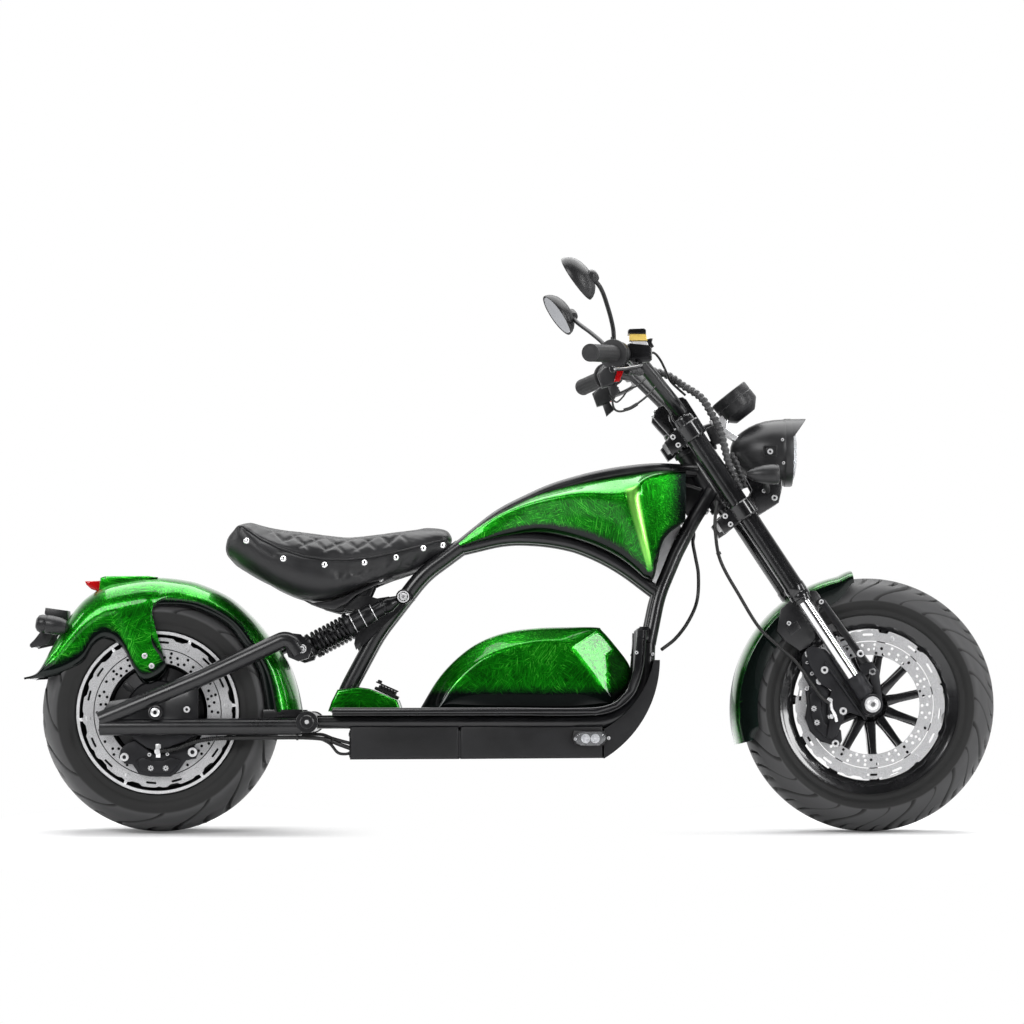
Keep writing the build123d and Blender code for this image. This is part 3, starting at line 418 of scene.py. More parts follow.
def bar(points, radius, sides, steps=24):
    """A section carried along a smooth line. Radius is a number, or a rule of (t, angle)."""
    at = line_through(points)
    spots = [at(i / steps) for i in range(steps + 1)]
    heading = [(spots[min(i + 1, steps)] - spots[max(i - 1, 0)]).normalized() for i in range(steps + 1)]
    outward = [heading[0].orthogonal().normalized()]
    for before, after in zip(heading, heading[1:]):
        outward.append(before.rotation_difference(after) @ outward[-1])

    def surface(u, v):
        i = round(u * steps)
        size = radius(u, v) if callable(radius) else radius
        side = heading[i].cross(outward[i])
        return spots[i] + (outward[i] * cos(2 * pi * v) + side * sin(2 * pi * v)) * size

    part = sheet(steps, sides, surface)
    bmesh.ops.remove_doubles(part, verts=part.verts, dist=0.005)
    close_holes(part)
    return part


def path_length(points):
    return sum((Vector(b) - Vector(a)).length for a, b in zip(points, points[1:]))


def stamp(shape, part, *seats):
    """Add a part to a shape, once at each seat."""
    pattern = bpy.data.meshes.new("pattern")
    part.to_mesh(pattern)
    part.free()
    for seat in seats or (Matrix(),):
        copy = pattern.copy()
        copy.transform(seat)
        shape.from_mesh(copy)
        bpy.data.meshes.remove(copy)
    bpy.data.meshes.remove(pattern)


def pair(shape, part, seat=RIGHT):
    """Stamp a part on the right, and its mirror image on the left."""
    stamp(shape, part, seat, FLIPPED @ seat)


def release(name, shape, body, slot, *nodes, sharp=32, weld=0.01, finish=None):
    bmesh.ops.remove_doubles(shape, verts=shape.verts, dist=weld)
    bmesh.ops.recalc_face_normals(shape, faces=shape.faces)
    for face in shape.faces:
        face.smooth = True
    for edge in shape.edges:
        edge.smooth = edge.calc_face_angle(0.0) < radians(sharp)
    shape.transform(LEANED)
    mesh = bpy.data.meshes.new(name)
    shape.to_mesh(mesh)
    shape.free()
    mesh.materials.append(FINISH[finish or slot])
    piece = bpy.data.objects.new(name, mesh)
    bpy.context.collection.objects.link(piece)
    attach(piece, body)
    if nodes:
        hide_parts(*nodes)
    print(name, len(mesh.polygons), "faces")
    return piece


def screw(radius, height):
    """A cap screw: a chamfered head whose six-sided hole is so deep that what lies under it shows."""
    part = turned([(0, -height * 0.2), (radius * 0.5, -height * 0.2), (radius * 0.5, height),
                   (radius * 0.88, height), (radius, height * 0.82), (radius, -height * 0.4),
                   (0, -height * 0.4)], steps=24)
    for corner in part.verts:
        if abs(corner.co.xy.length - radius * 0.5) < 0.01:
            turn = atan2(corner.co.y, corner.co.x) % (pi / 3) - pi / 6
            corner.co.xy *= cos(pi / 6) / cos(turn)
    return part


def bolts(shape, height, *places):
    """A pair of screws at each (x, z, out, radius)."""
    for x, z, out, radius in places:
        pair(shape, screw(radius, height), on_side(x, z, out))


print("helpers ready:", line_through([(0, 0, 0), (1, 0, 0)])(0.5))

# %% [markdown]
# ## Tyres
#
# A tyre is one section swept round a circle, so it is a sheet that closes on itself both ways. The
# section has a bead, a moulded ring, a sidewall, a small step where the tread begins, and a round
# crown. The grooves are pressed in by moving the surface inwards. They start at the step and sweep
# forwards towards the crown, as road tyres' grooves do, and every second one is short. The grid's
# columns follow them and crowd together inside each groove, so a few columns give a crisp edge. The
# vertex number that blackens paint also blackens the sidewall here, and blackens the grooves as a
# painted shade.

# %% Tyres
COLUMNS_PER_GROOVE = 10
GROOVE_COLUMNS = 4
GROOVE_DEPTH = 5.0
SKIN_SHARE = 0.94    # of the grid's rows; the rest close the tyre along its beads


def tyre(name, body, node, section, step_radius, crown_radius, x, z, groove_count, groove_width, sweep):
    """section runs from the bead over the crown on one side, as (radius, side) points."""
    there = [(radius, side, 0) for radius, side in section]
    back = [(radius, -side, 0) for radius, side in reversed(section[:-1])]
    across = line_through(there + back)

    def surface(u, v):
        if v > SKIN_SHARE:
            radius = section[0][0]
            side = -section[0][1] * (1 - 2 * (v - SKIN_SHARE) / (1 - SKIN_SHARE))
            slant = 0.0
        else:
            radius, side, _ = across(v / SKIN_SHARE)
            slant = 1 - ease(radius, step_radius, crown_radius)
        pitch, part = divmod(u * groove_count, 1.0)
        column = part * COLUMNS_PER_GROOVE
        if column < GROOVE_COLUMNS:
            within = groove_width * column / GROOVE_COLUMNS
        else:
            land = (column - GROOVE_COLUMNS) / (COLUMNS_PER_GROOVE - GROOVE_COLUMNS)
            within = groove_width + (1 - groove_width) * land
        angle = (pitch + within + (0.5 if side > 0 else 0.0) * (1 - slant)) * 2 * pi / groove_count
        angle += sweep * slant
        in_groove = 0 < column < GROOVE_COLUMNS
        reach = ease(radius, step_radius + 1, step_radius + 4) * ease(abs(side), 6, 14)
        if pitch % 2:
            reach *= 1 - ease(abs(side), section[-4][1] - 4, section[-5][1])
        wall = 0.8 * (1 - ease(radius, step_radius - 1, step_radius + 2))
        # Painted shade: inside a groove the number rises, and the rubber is blackened there.
        if in_groove:
            radius -= GROOVE_DEPTH * reach
            wall = max(wall, reach)
        return Vector((x + radius * cos(angle), side, z + radius * sin(angle), wall))

    shape = sheet(groove_count * COLUMNS_PER_GROOVE, 70, surface)
    return release(name, shape, body, "tyre", node, sharp=50)


tyre("tyre_front", "front_wheel", "front_tyre",
     [(176, 38), (177, 45), (181, 50), (186, 53), (189, 53.4), (191.5, 52.6), (193, 54.4), (200, 59.5),
      (208, 62.6), (209.6, 62.4), (211.5, 64), (220, 63), (230, 58), (240, 49.5), (248, 37), (253.4, 22),
      (255.6, 9), (256, 0)],
     209, 256, WHEELBASE, FRONT_RADIUS, 52, 0.22, radians(17))
tyre("tyre_rear", "rear_wheel", "rear_tyre",
     [(158, 72), (160, 83), (165, 88.5), (170, 91), (173, 91.2), (175.5, 90), (177, 91.8), (186, 95.4),
      (198, 96.4), (201, 95.6), (203.5, 97), (211, 93), (219, 84), (227, 68), (233.5, 48), (238, 27),
      (239.7, 10), (240, 0)],
     201, 240, 0, REAR_RADIUS, 26, 0.15, radians(24))

# %% [markdown]
# ## Brake discs
#
# Each disc is two plates. The outer one is a ring with a waved rim, pairs of long slots and small
# bosses. The inner one is a plain ring with six drilled clusters, and a narrow gap parts the two.
# Both are outlines with holes, filled with triangles and raised to 4 mm.

# %% Discs
WAVE_INNER, WAVE_OUTER = 128.5, 150.0
DRILLED_INNER, DRILLED_OUTER = 100.0, 126.5
WAVES = 12
WAVE_STEPS = 24
SLOT_ROUNDING = 5
SLOT_RADIUS = 141.0
POST_RADIUS = 139
HOLE_RADIUS = 3.1
CLUSTER = ((121, -20), (115, -12), (106, -21), (121, -4), (109, -3), (115, 6), (104, 11), (121, 13),
           (111, 19), (120, 25), (105, -13), (115, -25), (104, 3), (112.5, 13))    # radius, angle


def point_at(radius, angle):
    """The point at an angle in degrees on a circle."""
    return radius * cos(radians(angle)), radius * sin(radians(angle))


def circle(radius, count, x=0.0, y=0.0):
    return [(x + radius * cos(2 * pi * i / count), y + radius * sin(2 * pi * i / count))
            for i in range(count)]


def waved_rim(start):
    """Twelve shallow steps round the rim, each with a tongue at its end."""
    rim = []
    for i in range(WAVES * WAVE_STEPS):
        part = i / WAVE_STEPS % 1
        dip = 4.2 * ease(part, 0.06, 0.16) * (1 - ease(part, 0.34, 0.42))
        dip += 2.0 * ease(part, 0.78, 0.82) * (1 - ease(part, 0.9, 0.94))
        angle = start + 2 * pi * i / (WAVES * WAVE_STEPS)
        rim.append(((WAVE_OUTER - dip) * cos(angle), (WAVE_OUTER - dip) * sin(angle)))
    return rim


def long_slot(angle, radius, length, width):
    """A round-ended slot that follows the rim."""
    ends = length / 2 / radius
    rim = []
    for side, start in ((1, angle - ends), (-1, angle + ends)):
        for i in range(4):
            at = start + side * 2 * ends * i / 3
            rim.append(((radius + side * width / 2) * cos(at), (radius + side * width / 2) * sin(at)))
        for i in range(1, SLOT_ROUNDING):
            around = pi / 2 - pi * i / SLOT_ROUNDING
            at = start + side * (2 * ends + width / 2 * cos(around) / radius)
            here = radius + side * width / 2 * sin(around)
            rim.append((here * cos(at), here * sin(at)))
    return rim


def disc(name, body, node, x, z, low, high, first_pair, first_cluster):
    slots = [long_slot(radians(first_pair + 60 * i + side), SLOT_RADIUS, 17, 4.6) for i in range(6)
             for side in (-10.5, 10.5)]
    shape = bmesh.new()
    seat = Matrix.Translation((x, 0, z)) @ RIGHT
    outer = slab(waved_rim(radians(first_pair)), low, high,
                 holes=[circle(WAVE_INNER, 144), *slots])
    stamp(shape, outer, seat)
    drilled = []
    for i in range(6):
        for radius, turn in CLUSTER:
            drilled.append(circle(HOLE_RADIUS, 10, *point_at(radius, first_cluster + 60 * i + turn)))
    inner = slab(circle(DRILLED_OUTER, 144), low, high, holes=[circle(DRILLED_INNER, 120), *drilled])
    stamp(shape, inner, seat)
    boss = turned([(0, 0.9), (2.0, 0.9), (2.0, 1.4), (4.2, 1.4), (5.2, 0.6), (5.2, 0), (0, 0)], steps=20)
    stamp(shape, boss, *[seat @ Matrix.Translation((*point_at(POST_RADIUS, first_pair - 30.6 + 60 * i),
                                                    high)) for i in range(6)])
    return release(name, shape, body, "disc_steel", node)


disc("disc_rear", "rear_wheel", "rear_disc", 0, REAR_RADIUS, 90, 94, 35.6, 4)
disc("disc_front", "front_wheel", "front_disc", WHEELBASE, FRONT_RADIUS, 60, 64, -18.0, 12)

# %% [markdown]
# ## The rear hub motor
#
# The motor fills the rear wheel. Its outside is a stepped black casting, turned in one piece with
# the rim. A thin polished hoop stands a little way in from the tyre on six ties, the disc is
# bolted to bosses, and the cover over the axle has raised radial ribs.

# %% Hub motor
REAR_HUB = Matrix.Translation((0, 0, REAR_RADIUS)) @ RIGHT


def both_ways(profile):
    """A profile of one side of a wheel, carried on over the other side."""
    return [*profile, *[(radius, -height) for radius, height in reversed(profile)]]


shape = bmesh.new()
hub_side = [(10.2, 96), (24, 96), (28, 92), (62, 90), (66, 84), (92, 80), (97, 70), (149, 70), (154, 78),
            (160, 86), (166, 89), (170, 88), (172, 84), (168, 79), (158, 74)]
stamp(shape, turned(both_ways(hub_side), steps=128), REAR_HUB)
rib = slab([(30, -4), (88, -6), (88, 6), (30, 4)], 74, 86, edge=1.6)
stamp(shape, rib, *[REAR_HUB @ spun(20 + 60 * i) for i in range(6)])
post = turned([(0, 90), (6, 90), (7, 68), (0, 68)], steps=20)
stamp(shape, post, *[REAR_HUB @ spun(5 + 60 * i) @ Matrix.Translation((POST_RADIUS, 0, 0))
                     for i in range(6)])
release("hub_motor", shape, "rear_wheel", "motor_alloy", "rear_hub_motor")

shape = bmesh.new()
hoop = turned([(156.6, 90), (156.6, 93), (157.6, 94), (161.8, 94), (162.8, 93), (162.8, 90)], steps=144)
stamp(shape, hoop, REAR_HUB)
tie = slab([(150, -3.4), (158.5, -2.6), (158.5, 2.6), (150, 3.4)], 90.5, 93.5, edge=0.6)
stamp(shape, tie, *[REAR_HUB @ spun(5.5 + 60 * i) for i in range(6)])
release("hub_hoop", shape, "rear_wheel", "bright_steel")

# %% [markdown]
# ## The front wheel
#
# A cast rim has a deep well with a lip on each side, eleven narrow spokes and a barrel. A spoke is
# an I-beam seen from the side: two proud edges with a groove between. It is a beveled slab whose
# outer face is inset and pushed in.

# %% Front rim
SPOKES = 11
shape = bmesh.new()
FRONT_HUB = Matrix.Translation((WHEELBASE, 0, FRONT_RADIUS)) @ RIGHT
well = [(153, 40), (159, 44), (170, 45), (175, 47.5), (181, 49), (184, 47), (183, 43), (178, 40), (166, 34),
        (160, 20)]
stamp(shape, turned([*both_ways(well), (154, -30), (152, 0), (154, 30)], steps=128), FRONT_HUB)
barrel = [(8.2, 62), (20, 62), (24, 58), (30, 54), (38, 40), (34, 30)]
stamp(shape, turned(both_ways(barrel), steps=72), FRONT_HUB)
spoke = slab([(30, -12), (60, -9), (146, -8), (158, -12), (158, 12), (146, 8), (60, 9), (30, 12)], 6, 34)
spoke.normal_update()
faces = [face for face in spoke.faces if face.normal.z > 0.9]
flat = bmesh.ops.dissolve_faces(spoke, faces=faces)["region"]
bmesh.ops.inset_region(spoke, faces=flat, thickness=4.2, use_even_offset=True)
bmesh.ops.translate(spoke, verts=list({corner for face in flat for corner in face.verts}), vec=(0, 0, -7))
bmesh.ops.bevel(spoke, geom=[edge for edge in spoke.edges if edge.calc_face_angle(0) > 0.9], offset=1.3,
                segments=2, profile=0.5, affect="EDGES", material=-1, clamp_overlap=True)
stamp(shape, spoke, *[FRONT_HUB @ spun(78 + 360 / SPOKES * i) for i in range(SPOKES)])
carrier = slab([(34, -9), (96, -6), (104, -9), (104, 9), (96, 6), (34, 9)], 50, 60, edge=1.5)
stamp(shape, carrier, *[FRONT_HUB @ spun(78 + 360 / SPOKES * i) for i in range(SPOKES)])
release("rim_front", shape, "front_wheel", "black_alloy", "front_rim")

# %% [markdown]
# ## The rear fender
#
# A pressed skin with a broad rounded crown and deep sides. Twenty-one stations run over the wheel from
# the front foot to the duck tail. Each has a point on the crown and a point on the lower edge, and
# the section between them is a quarter round that runs into a flat side. The last few millimetres
# curl inwards, so that the edge mirrors the floor. The tongue that reaches down to the swingarm is
# only a place where the lower edge dips.
#
# Every vertex of a painted skin also carries how dark the paint is there, and the covers go darker
# towards their edges. The finish reads that number as an attribute.

# %% Rear fender
FENDER_HALF = 106
FENDER_ROUND = 62
LIP = 14
fender_crown = flat_line([
    (286, 241), (277, 285), (262, 330), (243, 363), (219, 393), (184, 434), (137, 474), (80, 500),
    (42, 509), (8, 513), (-14, 513.5), (-40, 512), (-66, 508), (-92, 503), (-112, 497), (-138, 482),
    (-164, 460), (-196, 416), (-220, 368), (-240, 326), (-268, 309)])
fender_edge = flat_line([
    (216, 241), (210, 280), (202, 315), (190, 342), (174, 366), (135, 415), (66, 449), (6, 452),
    (-12, 444), (-18, 420), (-10, 366), (20, 324), (-28, 298), (-70, 366), (-102, 386), (-128, 373),
    (-152, 338), (-195, 316), (-226, 310), (-248, 308), (-268, 307)])


def fender_skin(u, v):
    crown, edge = fender_crown(u), fender_edge(u)
    drop = edge - crown
    depth = max(drop.length, 1.0)
    across = 2 * v - 1
    out = abs(across)
    round_depth = min(FENDER_ROUND, depth * 0.7)
    narrow = 1 - 0.10 * ease(u, 0.9, 1.0)
    if out < 0.5:
        turn = out * pi
        down = round_depth * (1 - cos(turn))
        side = FENDER_HALF * sin(turn) ** 0.72
        left = depth - down
    else:
        down = round_depth + (depth - round_depth) * (2 * out - 1)
        left = depth - down
        side = FENDER_HALF - 3 * ease(left, 120, 0) - 11 * max(0.0, 1 - left / LIP) ** 2
    spot = crown + drop * (down / depth)
    darkening = 1 - ease(left, 14, 48)
    return Vector((spot.x, copysign(side * narrow, across), spot.y, darkening))


shape = sheet(260, 90, fender_skin)
smooth(shape, shape.verts)
thicken(shape, 2.2)
release("fender_rear", shape, "frame", "green_paint", "rear_fender", sharp=60)

# %% [markdown]
# ## The front fender
#
# The same idea, rolled round the front tyre: a shallow section with short sides, and an end that
# flicks up. Its paint is darkened all over as a painted shade, and darker still towards its sides.

# %% Front fender
FRONT_FENDER_RADIUS = 276
FRONT_FENDER_CENTRE = (1427, 247)


def front_fender_skin(u, v):
    angle = radians(96.5 + 98.5 * u)
    across = 2 * v - 1
    out = abs(across)
    flick = 7 * (1 - ease(u, 0.0, 0.07))
    deep = 28 * ease(u, -0.02, 0.12) * (1 - 0.6 * ease(u, 0.93, 1.0)) + 6
    if out < 0.6:
        turn = out / 0.6 * pi / 2
        radius = FRONT_FENDER_RADIUS - 15 * (1 - cos(turn))
        side = 75 * sin(turn) ** 0.8
    else:
        radius = FRONT_FENDER_RADIUS - 15 - deep * (out - 0.6) / 0.4
        side = 75 - 4 * ((out - 0.6) / 0.4) ** 2
    radius = radius + flick - 3
    # Painted shade: the whole skin is at least 0.45 dark, crown included, and the sides go darker still.
    darkening = 0.45 + 0.55 * ease(out, 0.40, 0.68)
    x, z = FRONT_FENDER_CENTRE
    return Vector((x + radius * cos(angle), copysign(side, across), z + radius * sin(angle), darkening))


shape = sheet(120, 50, front_fender_skin)
thicken(shape, 2.0)
release("fender_front", shape, "steering", "green_paint", "front_fender", sharp=60)

# %% [markdown]
# ## The tank cover
#
# The tank is a folded shape: a top facet that climbs to a ridge, a side facet below it, and a
# front facet that turns in towards the head. Its net of control points has seven rows from the
# centre line down to the underside, and nine columns from the tail to the head. The columns are
# smooth up to the vertical ridge, break there, and go on. The fold lines come from the straight
# runs between the rows, and rounds of smoothing soften them into broad pressed edges. Seen past
# its front edge, the far half shows its unpainted inside, which is a plate in grey primer.

# %% Tank
TANK_NET = {"centre": [(602, 0, 584), (650, 0, 631), (700, 0, 666), (766, 0, 696), (847, 0, 716),
                       (920, 0, 727), (965, 0, 731), (1020, 0, 734), (1064, 0, 733)],
            "shoulder": [(600, 57, 580), (649, 57, 620), (699, 56, 650), (766, 54, 682), (847, 56, 703),
                         (920, 60, 714), (966, 62, 720), (1006, 56, 727), (1062, 44, 729)],
            "ridge": [(598, 61, 577), (648, 66, 614), (696, 76, 643), (766, 92, 667), (847, 104, 681),
                      (915, 111, 678), (951, 114, 687), (986, 92, 715), (1061, 60, 726)],
            "middle": [(600, 62, 575), (652, 68, 602), (701, 76, 625), (768, 88, 641), (850, 97, 639),
                       (922, 103, 620), (970, 112, 596), (1006, 88, 652), (1061, 60, 676)],
            "crease": [(602, 62, 573), (656, 68, 590), (706, 74, 605), (772, 84, 613), (855, 93, 595),
                       (927, 98, 561), (996, 94, 500), (1016, 84, 582), (1060, 58, 624)],
            "lip": [(603, 60, 572), (656, 62, 586), (706, 64, 595), (772, 68, 600), (855, 76, 581),
                    (927, 80, 547), (996, 78, 490), (1010, 68, 584), (1056, 50, 626)],
            "bottom": [(603, 0, 572), (656, 0, 588), (706, 0, 598), (772, 0, 604), (855, 0, 590),
                       (927, 0, 560), (992, 0, 520), (1008, 0, 600), (1052, 0, 640)]}
VERTICAL_RIDGE, LAST_COLUMN = 6, 8
RIDGE_LEAN = 0.24
row_lines = [(line_through(row[:VERTICAL_RIDGE + 1], even=True),
              line_through(row[VERTICAL_RIDGE:], even=True)) for row in TANK_NET.values()]
ROW_STOPS = (0.0, 0.14, 0.34, 0.52, 0.74, 0.82, 1.0)


def off_ridge(x, z):
    """How far in front of or behind the upright ridge a point is."""
    return abs(x - 951 - RIDGE_LEAN * (687 - z))


def tank_skin(u, v):
    column = u * LAST_COLUMN
    across = 2 * v - 1
    out = abs(across)
    j = min(bisect_right(ROW_STOPS, out) - 1, 5)
    share = (out - ROW_STOPS[j]) / (ROW_STOPS[j + 1] - ROW_STOPS[j])
    spots = [after((column - VERTICAL_RIDGE) / (LAST_COLUMN - VERTICAL_RIDGE)) if column > VERTICAL_RIDGE
             else before(column / VERTICAL_RIDGE) for before, after in row_lines[j:j + 2]]
    spot = spots[0].lerp(spots[1], share)
    dark = max(ease(out, 0.62, 0.735), ease(spot.x, 1000, 1066))
    # Painted highlight: near the upright ridge the number is pushed below zero, which paints a light band
    # there.
    if 0.3 < out < 0.72:
        dark -= 1 - ease(off_ridge(spot.x + 2, spot.z), 5, 16 - 8 * ease(out, 0.34, 0.72))
    return Vector((spot.x, copysign(spot.y, across), spot.z, dark))


shape = sheet(128, 110, tank_skin)
bmesh.ops.remove_doubles(shape, verts=shape.verts, dist=0.05)
inner = [corner for corner in shape.verts if not corner.is_boundary]
folds = [corner for corner in inner if off_ridge(corner.co.x, corner.co.z) < 17 and abs(corner.co.y) > 60]
for region, rounds in ((inner, 9), (folds, 22)):
    for _ in range(rounds):
        smooth(shape, region)
close_holes(shape)
release("tank_cover", shape, "frame", "green_paint", "tank", sharp=60, weld=0.05)

shape = slab([(985, 560), (990, 500), (1008, 488), (1042, 562), (1060, 600), (1052, 628), (1040, 630),
              (1000, 600)], -34, -30)
shape.transform(RIGHT)
release("tank_lining", shape, "frame", "green_paint", finish="grey_primer")

# %% [markdown]
# ## The domed cover over the battery
#
# The dome is two lines: the outline, where the top meets the bevel, and the edge of the flat side
# below the bevel. Fourteen pairs of points give both. The broad flat bevel between them is what
# catches the light. The side hangs straight down from it, and its paint fades to black near the
# deck.

# %% Domed cover
DOME_TOP_HALF = 58
DOME_HALF = 91
TOP_SHARE, BEVEL_SHARE = 0.3, 0.5    # where the top and the bevel end, from the middle out
DOME_FOOT = 245
dome_outline = flat_line([
    (523, 244), (560, 305), (600, 349), (645, 381), (700, 401), (760, 409), (820, 411), (880, 411),
    (892, 404), (918, 374), (947, 333), (945, 303), (930, 275), (900, 252)])
dome_edge = flat_line([(560, 248), (586, 287), (618, 322), (655, 350), (700, 368), (750, 380), (794, 383),
                       (824, 372), (832, 363), (853, 336), (886, 296), (906, 276), (912, 262), (896, 250)])


def dome_skin(u, v):
    across = 2 * v - 1
    out = abs(across)
    rim, edge = dome_outline(u), dome_edge(u)
    if out < TOP_SHARE:
        side = DOME_TOP_HALF * out / TOP_SHARE
        x, z = rim.x, rim.y + 2.5 * (1 - (out / TOP_SHARE) ** 2)
    elif out < BEVEL_SHARE:
        share = (out - TOP_SHARE) / (BEVEL_SHARE - TOP_SHARE)
        side = DOME_TOP_HALF + (DOME_HALF - DOME_TOP_HALF) * share
        spot = rim.lerp(edge, share)
        x, z = spot.x, spot.y
    else:
        share = (out - BEVEL_SHARE) / (1 - BEVEL_SHARE)
        side = DOME_HALF + 2.0 * sin(share * pi)
        x, z = edge.x, edge.y + (DOME_FOOT - edge.y) * share
    dark = 1 - ease(z, 270, 302)
    return Vector((x, copysign(side, across), z, dark))


shape = sheet(144, 80, dome_skin)
smooth(shape, shape.verts)
close_holes(shape)
release("dome_cover", shape, "frame", "green_paint", "battery_cover", sharp=60, weld=0.05)

# %% [markdown]
# ## The small cover behind it
#
# A painted box with a sloping front, which is a slab across the machine with well rounded edges.
# The finned black latch that closes the charging port sits on its slope.

# %% Rear cover and latch
shape = bmesh.new()
stamp(shape, slab([(341, 242), (348, 262), (360, 286), (401, 291), (424, 288), (480, 265), (488, 242)], -94,
                  94, edge=6, segments=4), RIGHT)
release("cover_rear", shape, "frame", "green_paint", "rear_cover", sharp=50)

shape = bmesh.new()
slope = Matrix.Translation((454, 0, 279)) @ Matrix.Rotation(radians(24), 4, "Y")
stamp(shape, slab([(-24, -30), (24, -30), (28, -22), (28, 22), (24, 30), (-24, 30)], -2, 5, edge=2), slope)
stamp(shape, slab([(-18, -24), (20, -24), (20, 24), (-18, 24)], 4, 11, edge=1.5), slope)
fin = slab([(-1.5, -27), (1.5, -27), (1.5, 27), (-1.5, 27)], 4, 12.5, edge=0.8)
stamp(shape, fin, *[slope @ Matrix.Translation((-14 + 6.4 * i, 0, 0)) for i in range(6)])
stamp(shape, slab([(-27, -17), (19, -17), (22, -12), (22, 12), (19, 17), (-27, 17)], 12, 15, edge=1.2), slope)
stamp(shape, slab([(-25, -8), (-16, -8), (-16, 8), (-25, 8)], 14, 20, edge=2), slope)
release("port_latch", shape, "frame", "black_plastic", "charge_port")

# %% [markdown]
# ## The seat
#
# The saddle is foam under a fitted cover. The shape it is cut to comes first: stations along the
# machine with a half width, a floor, a side seam and a crown. That shape is then treated as what it
# is, a stuffed skin. It is remeshed evenly, given a little inner pressure as cloth for twenty
# frames, and no point may move more than 9 mm. The pan underneath is held still.
#
# Sewing comes after the stuffing, because remeshing would lose it. The seam is pressed in along the
# side, the top gets diamond quilting that fades out towards the nose and the tail, and a piping and
# a row of chrome studs are laid on the finished surface, found by looking at it from the side.

# %% The shape the seat is cut to
SEAT_STATIONS = [    # x, half width, floor, seam, crown
    (134, 66, 558, 572, 576), (140, 92, 552, 588, 592), (152, 108, 544, 603, 607),
    (168, 120, 531, 614, 619), (205, 130, 507, 588, 609), (246, 135, 483, 568, 598),
    (290, 136, 467, 553, 593), (335, 131, 466, 546, 587), (380, 120, 480, 546, 583),
    (430, 105, 500, 552, 588), (480, 91, 518, 563, 595), (525, 78, 538, 575, 604),
    (556, 68, 552, 584, 612), (576, 62, 560, 588, 611), (587, 50, 564, 585, 599)]
width_line, floor_line, seam_line, crown_line = [
    flat_line([(row[0], row[k]) for row in SEAT_STATIONS]) for k in (1, 2, 3, 4)]


def seat_skin(u, v):
    x, half, _ = width_line(u)
    low, seam, top = floor_line(u).y, seam_line(u).y, crown_line(u).y
    turn = 2 * pi * v
    across, up = cos(turn), sin(turn)
    if up > 0:
        side, z = half * 0.95 * abs(across) ** 0.8, seam + (top - seam) * up ** 0.7
    else:
        side, z = half * (0.95 + 0.05 * sin(pi * -up)) * abs(across) ** 0.4, seam + (seam - low) * up
    return Vector((x, copysign(side, across), z))


cut = sheet(90, 96, seat_skin)
bmesh.ops.remove_doubles(cut, verts=cut.verts, dist=0.05)
close_holes(cut)
bmesh.ops.recalc_face_normals(cut, faces=cut.faces)
print("seat cut from", len(cut.faces), "faces")


# %% Stuffing
def evaluated(piece):
    """The mesh of a piece with its modifiers applied."""
    return bpy.data.meshes.new_from_object(piece.evaluated_get(bpy.context.evaluated_depsgraph_get()))


def stuffed(cut, pressure, cap, held):
    """The cut shape, remeshed and swollen as cloth. held says which points stay, by their place in mm."""
    mesh = bpy.data.meshes.new("stuffing")
    cut.to_mesh(mesh)
    cut.free()
    mesh.transform(Matrix.Scale(MM, 4))
    pad = bpy.data.objects.new("stuffing", mesh)
    bpy.context.collection.objects.link(pad)
    even = pad.modifiers.new("even", "REMESH")
    even.mode = "VOXEL"
    even.voxel_size = 0.005
    pad.data = evaluated(pad)
    pad.modifiers.clear()
    before = [corner.co.copy() for corner in pad.data.vertices]
    still = pad.vertex_groups.new(name="still")
    still.add([i for i, spot in enumerate(before) if held(spot / MM)], 1.0, "REPLACE")
    cloth = pad.modifiers.new("cloth", "CLOTH")
    cloth.settings.quality = 5
    cloth.settings.mass = 0.3
    cloth.settings.tension_stiffness = 20
    cloth.settings.compression_stiffness = 20
    cloth.settings.bending_stiffness = 1.0
    cloth.settings.use_pressure = True
    cloth.settings.uniform_pressure_force = pressure
    cloth.settings.effector_weights.gravity = 0
    cloth.settings.vertex_group_mass = "still"
    for moment in range(1, 21):
        bpy.context.scene.frame_set(moment)
    swollen = evaluated(pad)
    for corner, start in zip(swollen.vertices, before):
        move = corner.co - start
        if move.length > cap * MM:
            corner.co = start + move.normalized() * cap * MM
    pad.modifiers.clear()
    pad.data = swollen
    bpy.context.scene.frame_set(1)
    finer = pad.modifiers.new("finer", "SUBSURF")
    finer.levels = finer.render_levels = 1
    result = bmesh.new()
    result.from_mesh(evaluated(pad))
    result.transform(Matrix.Scale(1 / MM, 4))
    bpy.data.objects.remove(pad)
    return result


saddle = stuffed(cut, pressure=4.0, cap=9.0, held=lambda spot: spot.z < 500 and abs(spot.y) < 80)
print("stuffed to", len(saddle.faces), "faces")

# %% [markdown]
# Quilting is a height taken off along each point's own normal: two families of diagonal lines, both
# pressed in, and the diamonds between them stand up. It only works on the top, between the seams.

# %% Seam, quilting, piping and studs
QUILT_PITCH = 42.0
QUILT_SLANT = 1.15
QUILT_LINE = 11
QUILT_RISE, QUILT_DIP = 2.6, 5.0
SEAM_HALF, SEAM_DEPTH = 7, 2.4
saddle.normal_update()
station_at = [(x, seam) for x, _, _, seam, _ in SEAT_STATIONS]


def seam_height(x):
    i = min(max(bisect_right(station_at, (x, 0)) - 1, 0), len(station_at) - 2)
    (x0, z0), (x1, z1) = station_at[i], station_at[i + 1]
    return z0 + (z1 - z0) * min(max((x - x0) / (x1 - x0), 0), 1)


def line_press(value, pitch, half):
    """1 on a line, falling to 0 half a line's width away, repeated every pitch."""
    away = abs((value / pitch + 0.5) % 1.0 - 0.5) * pitch
    return max(0.0, 1 - away / half) ** 2


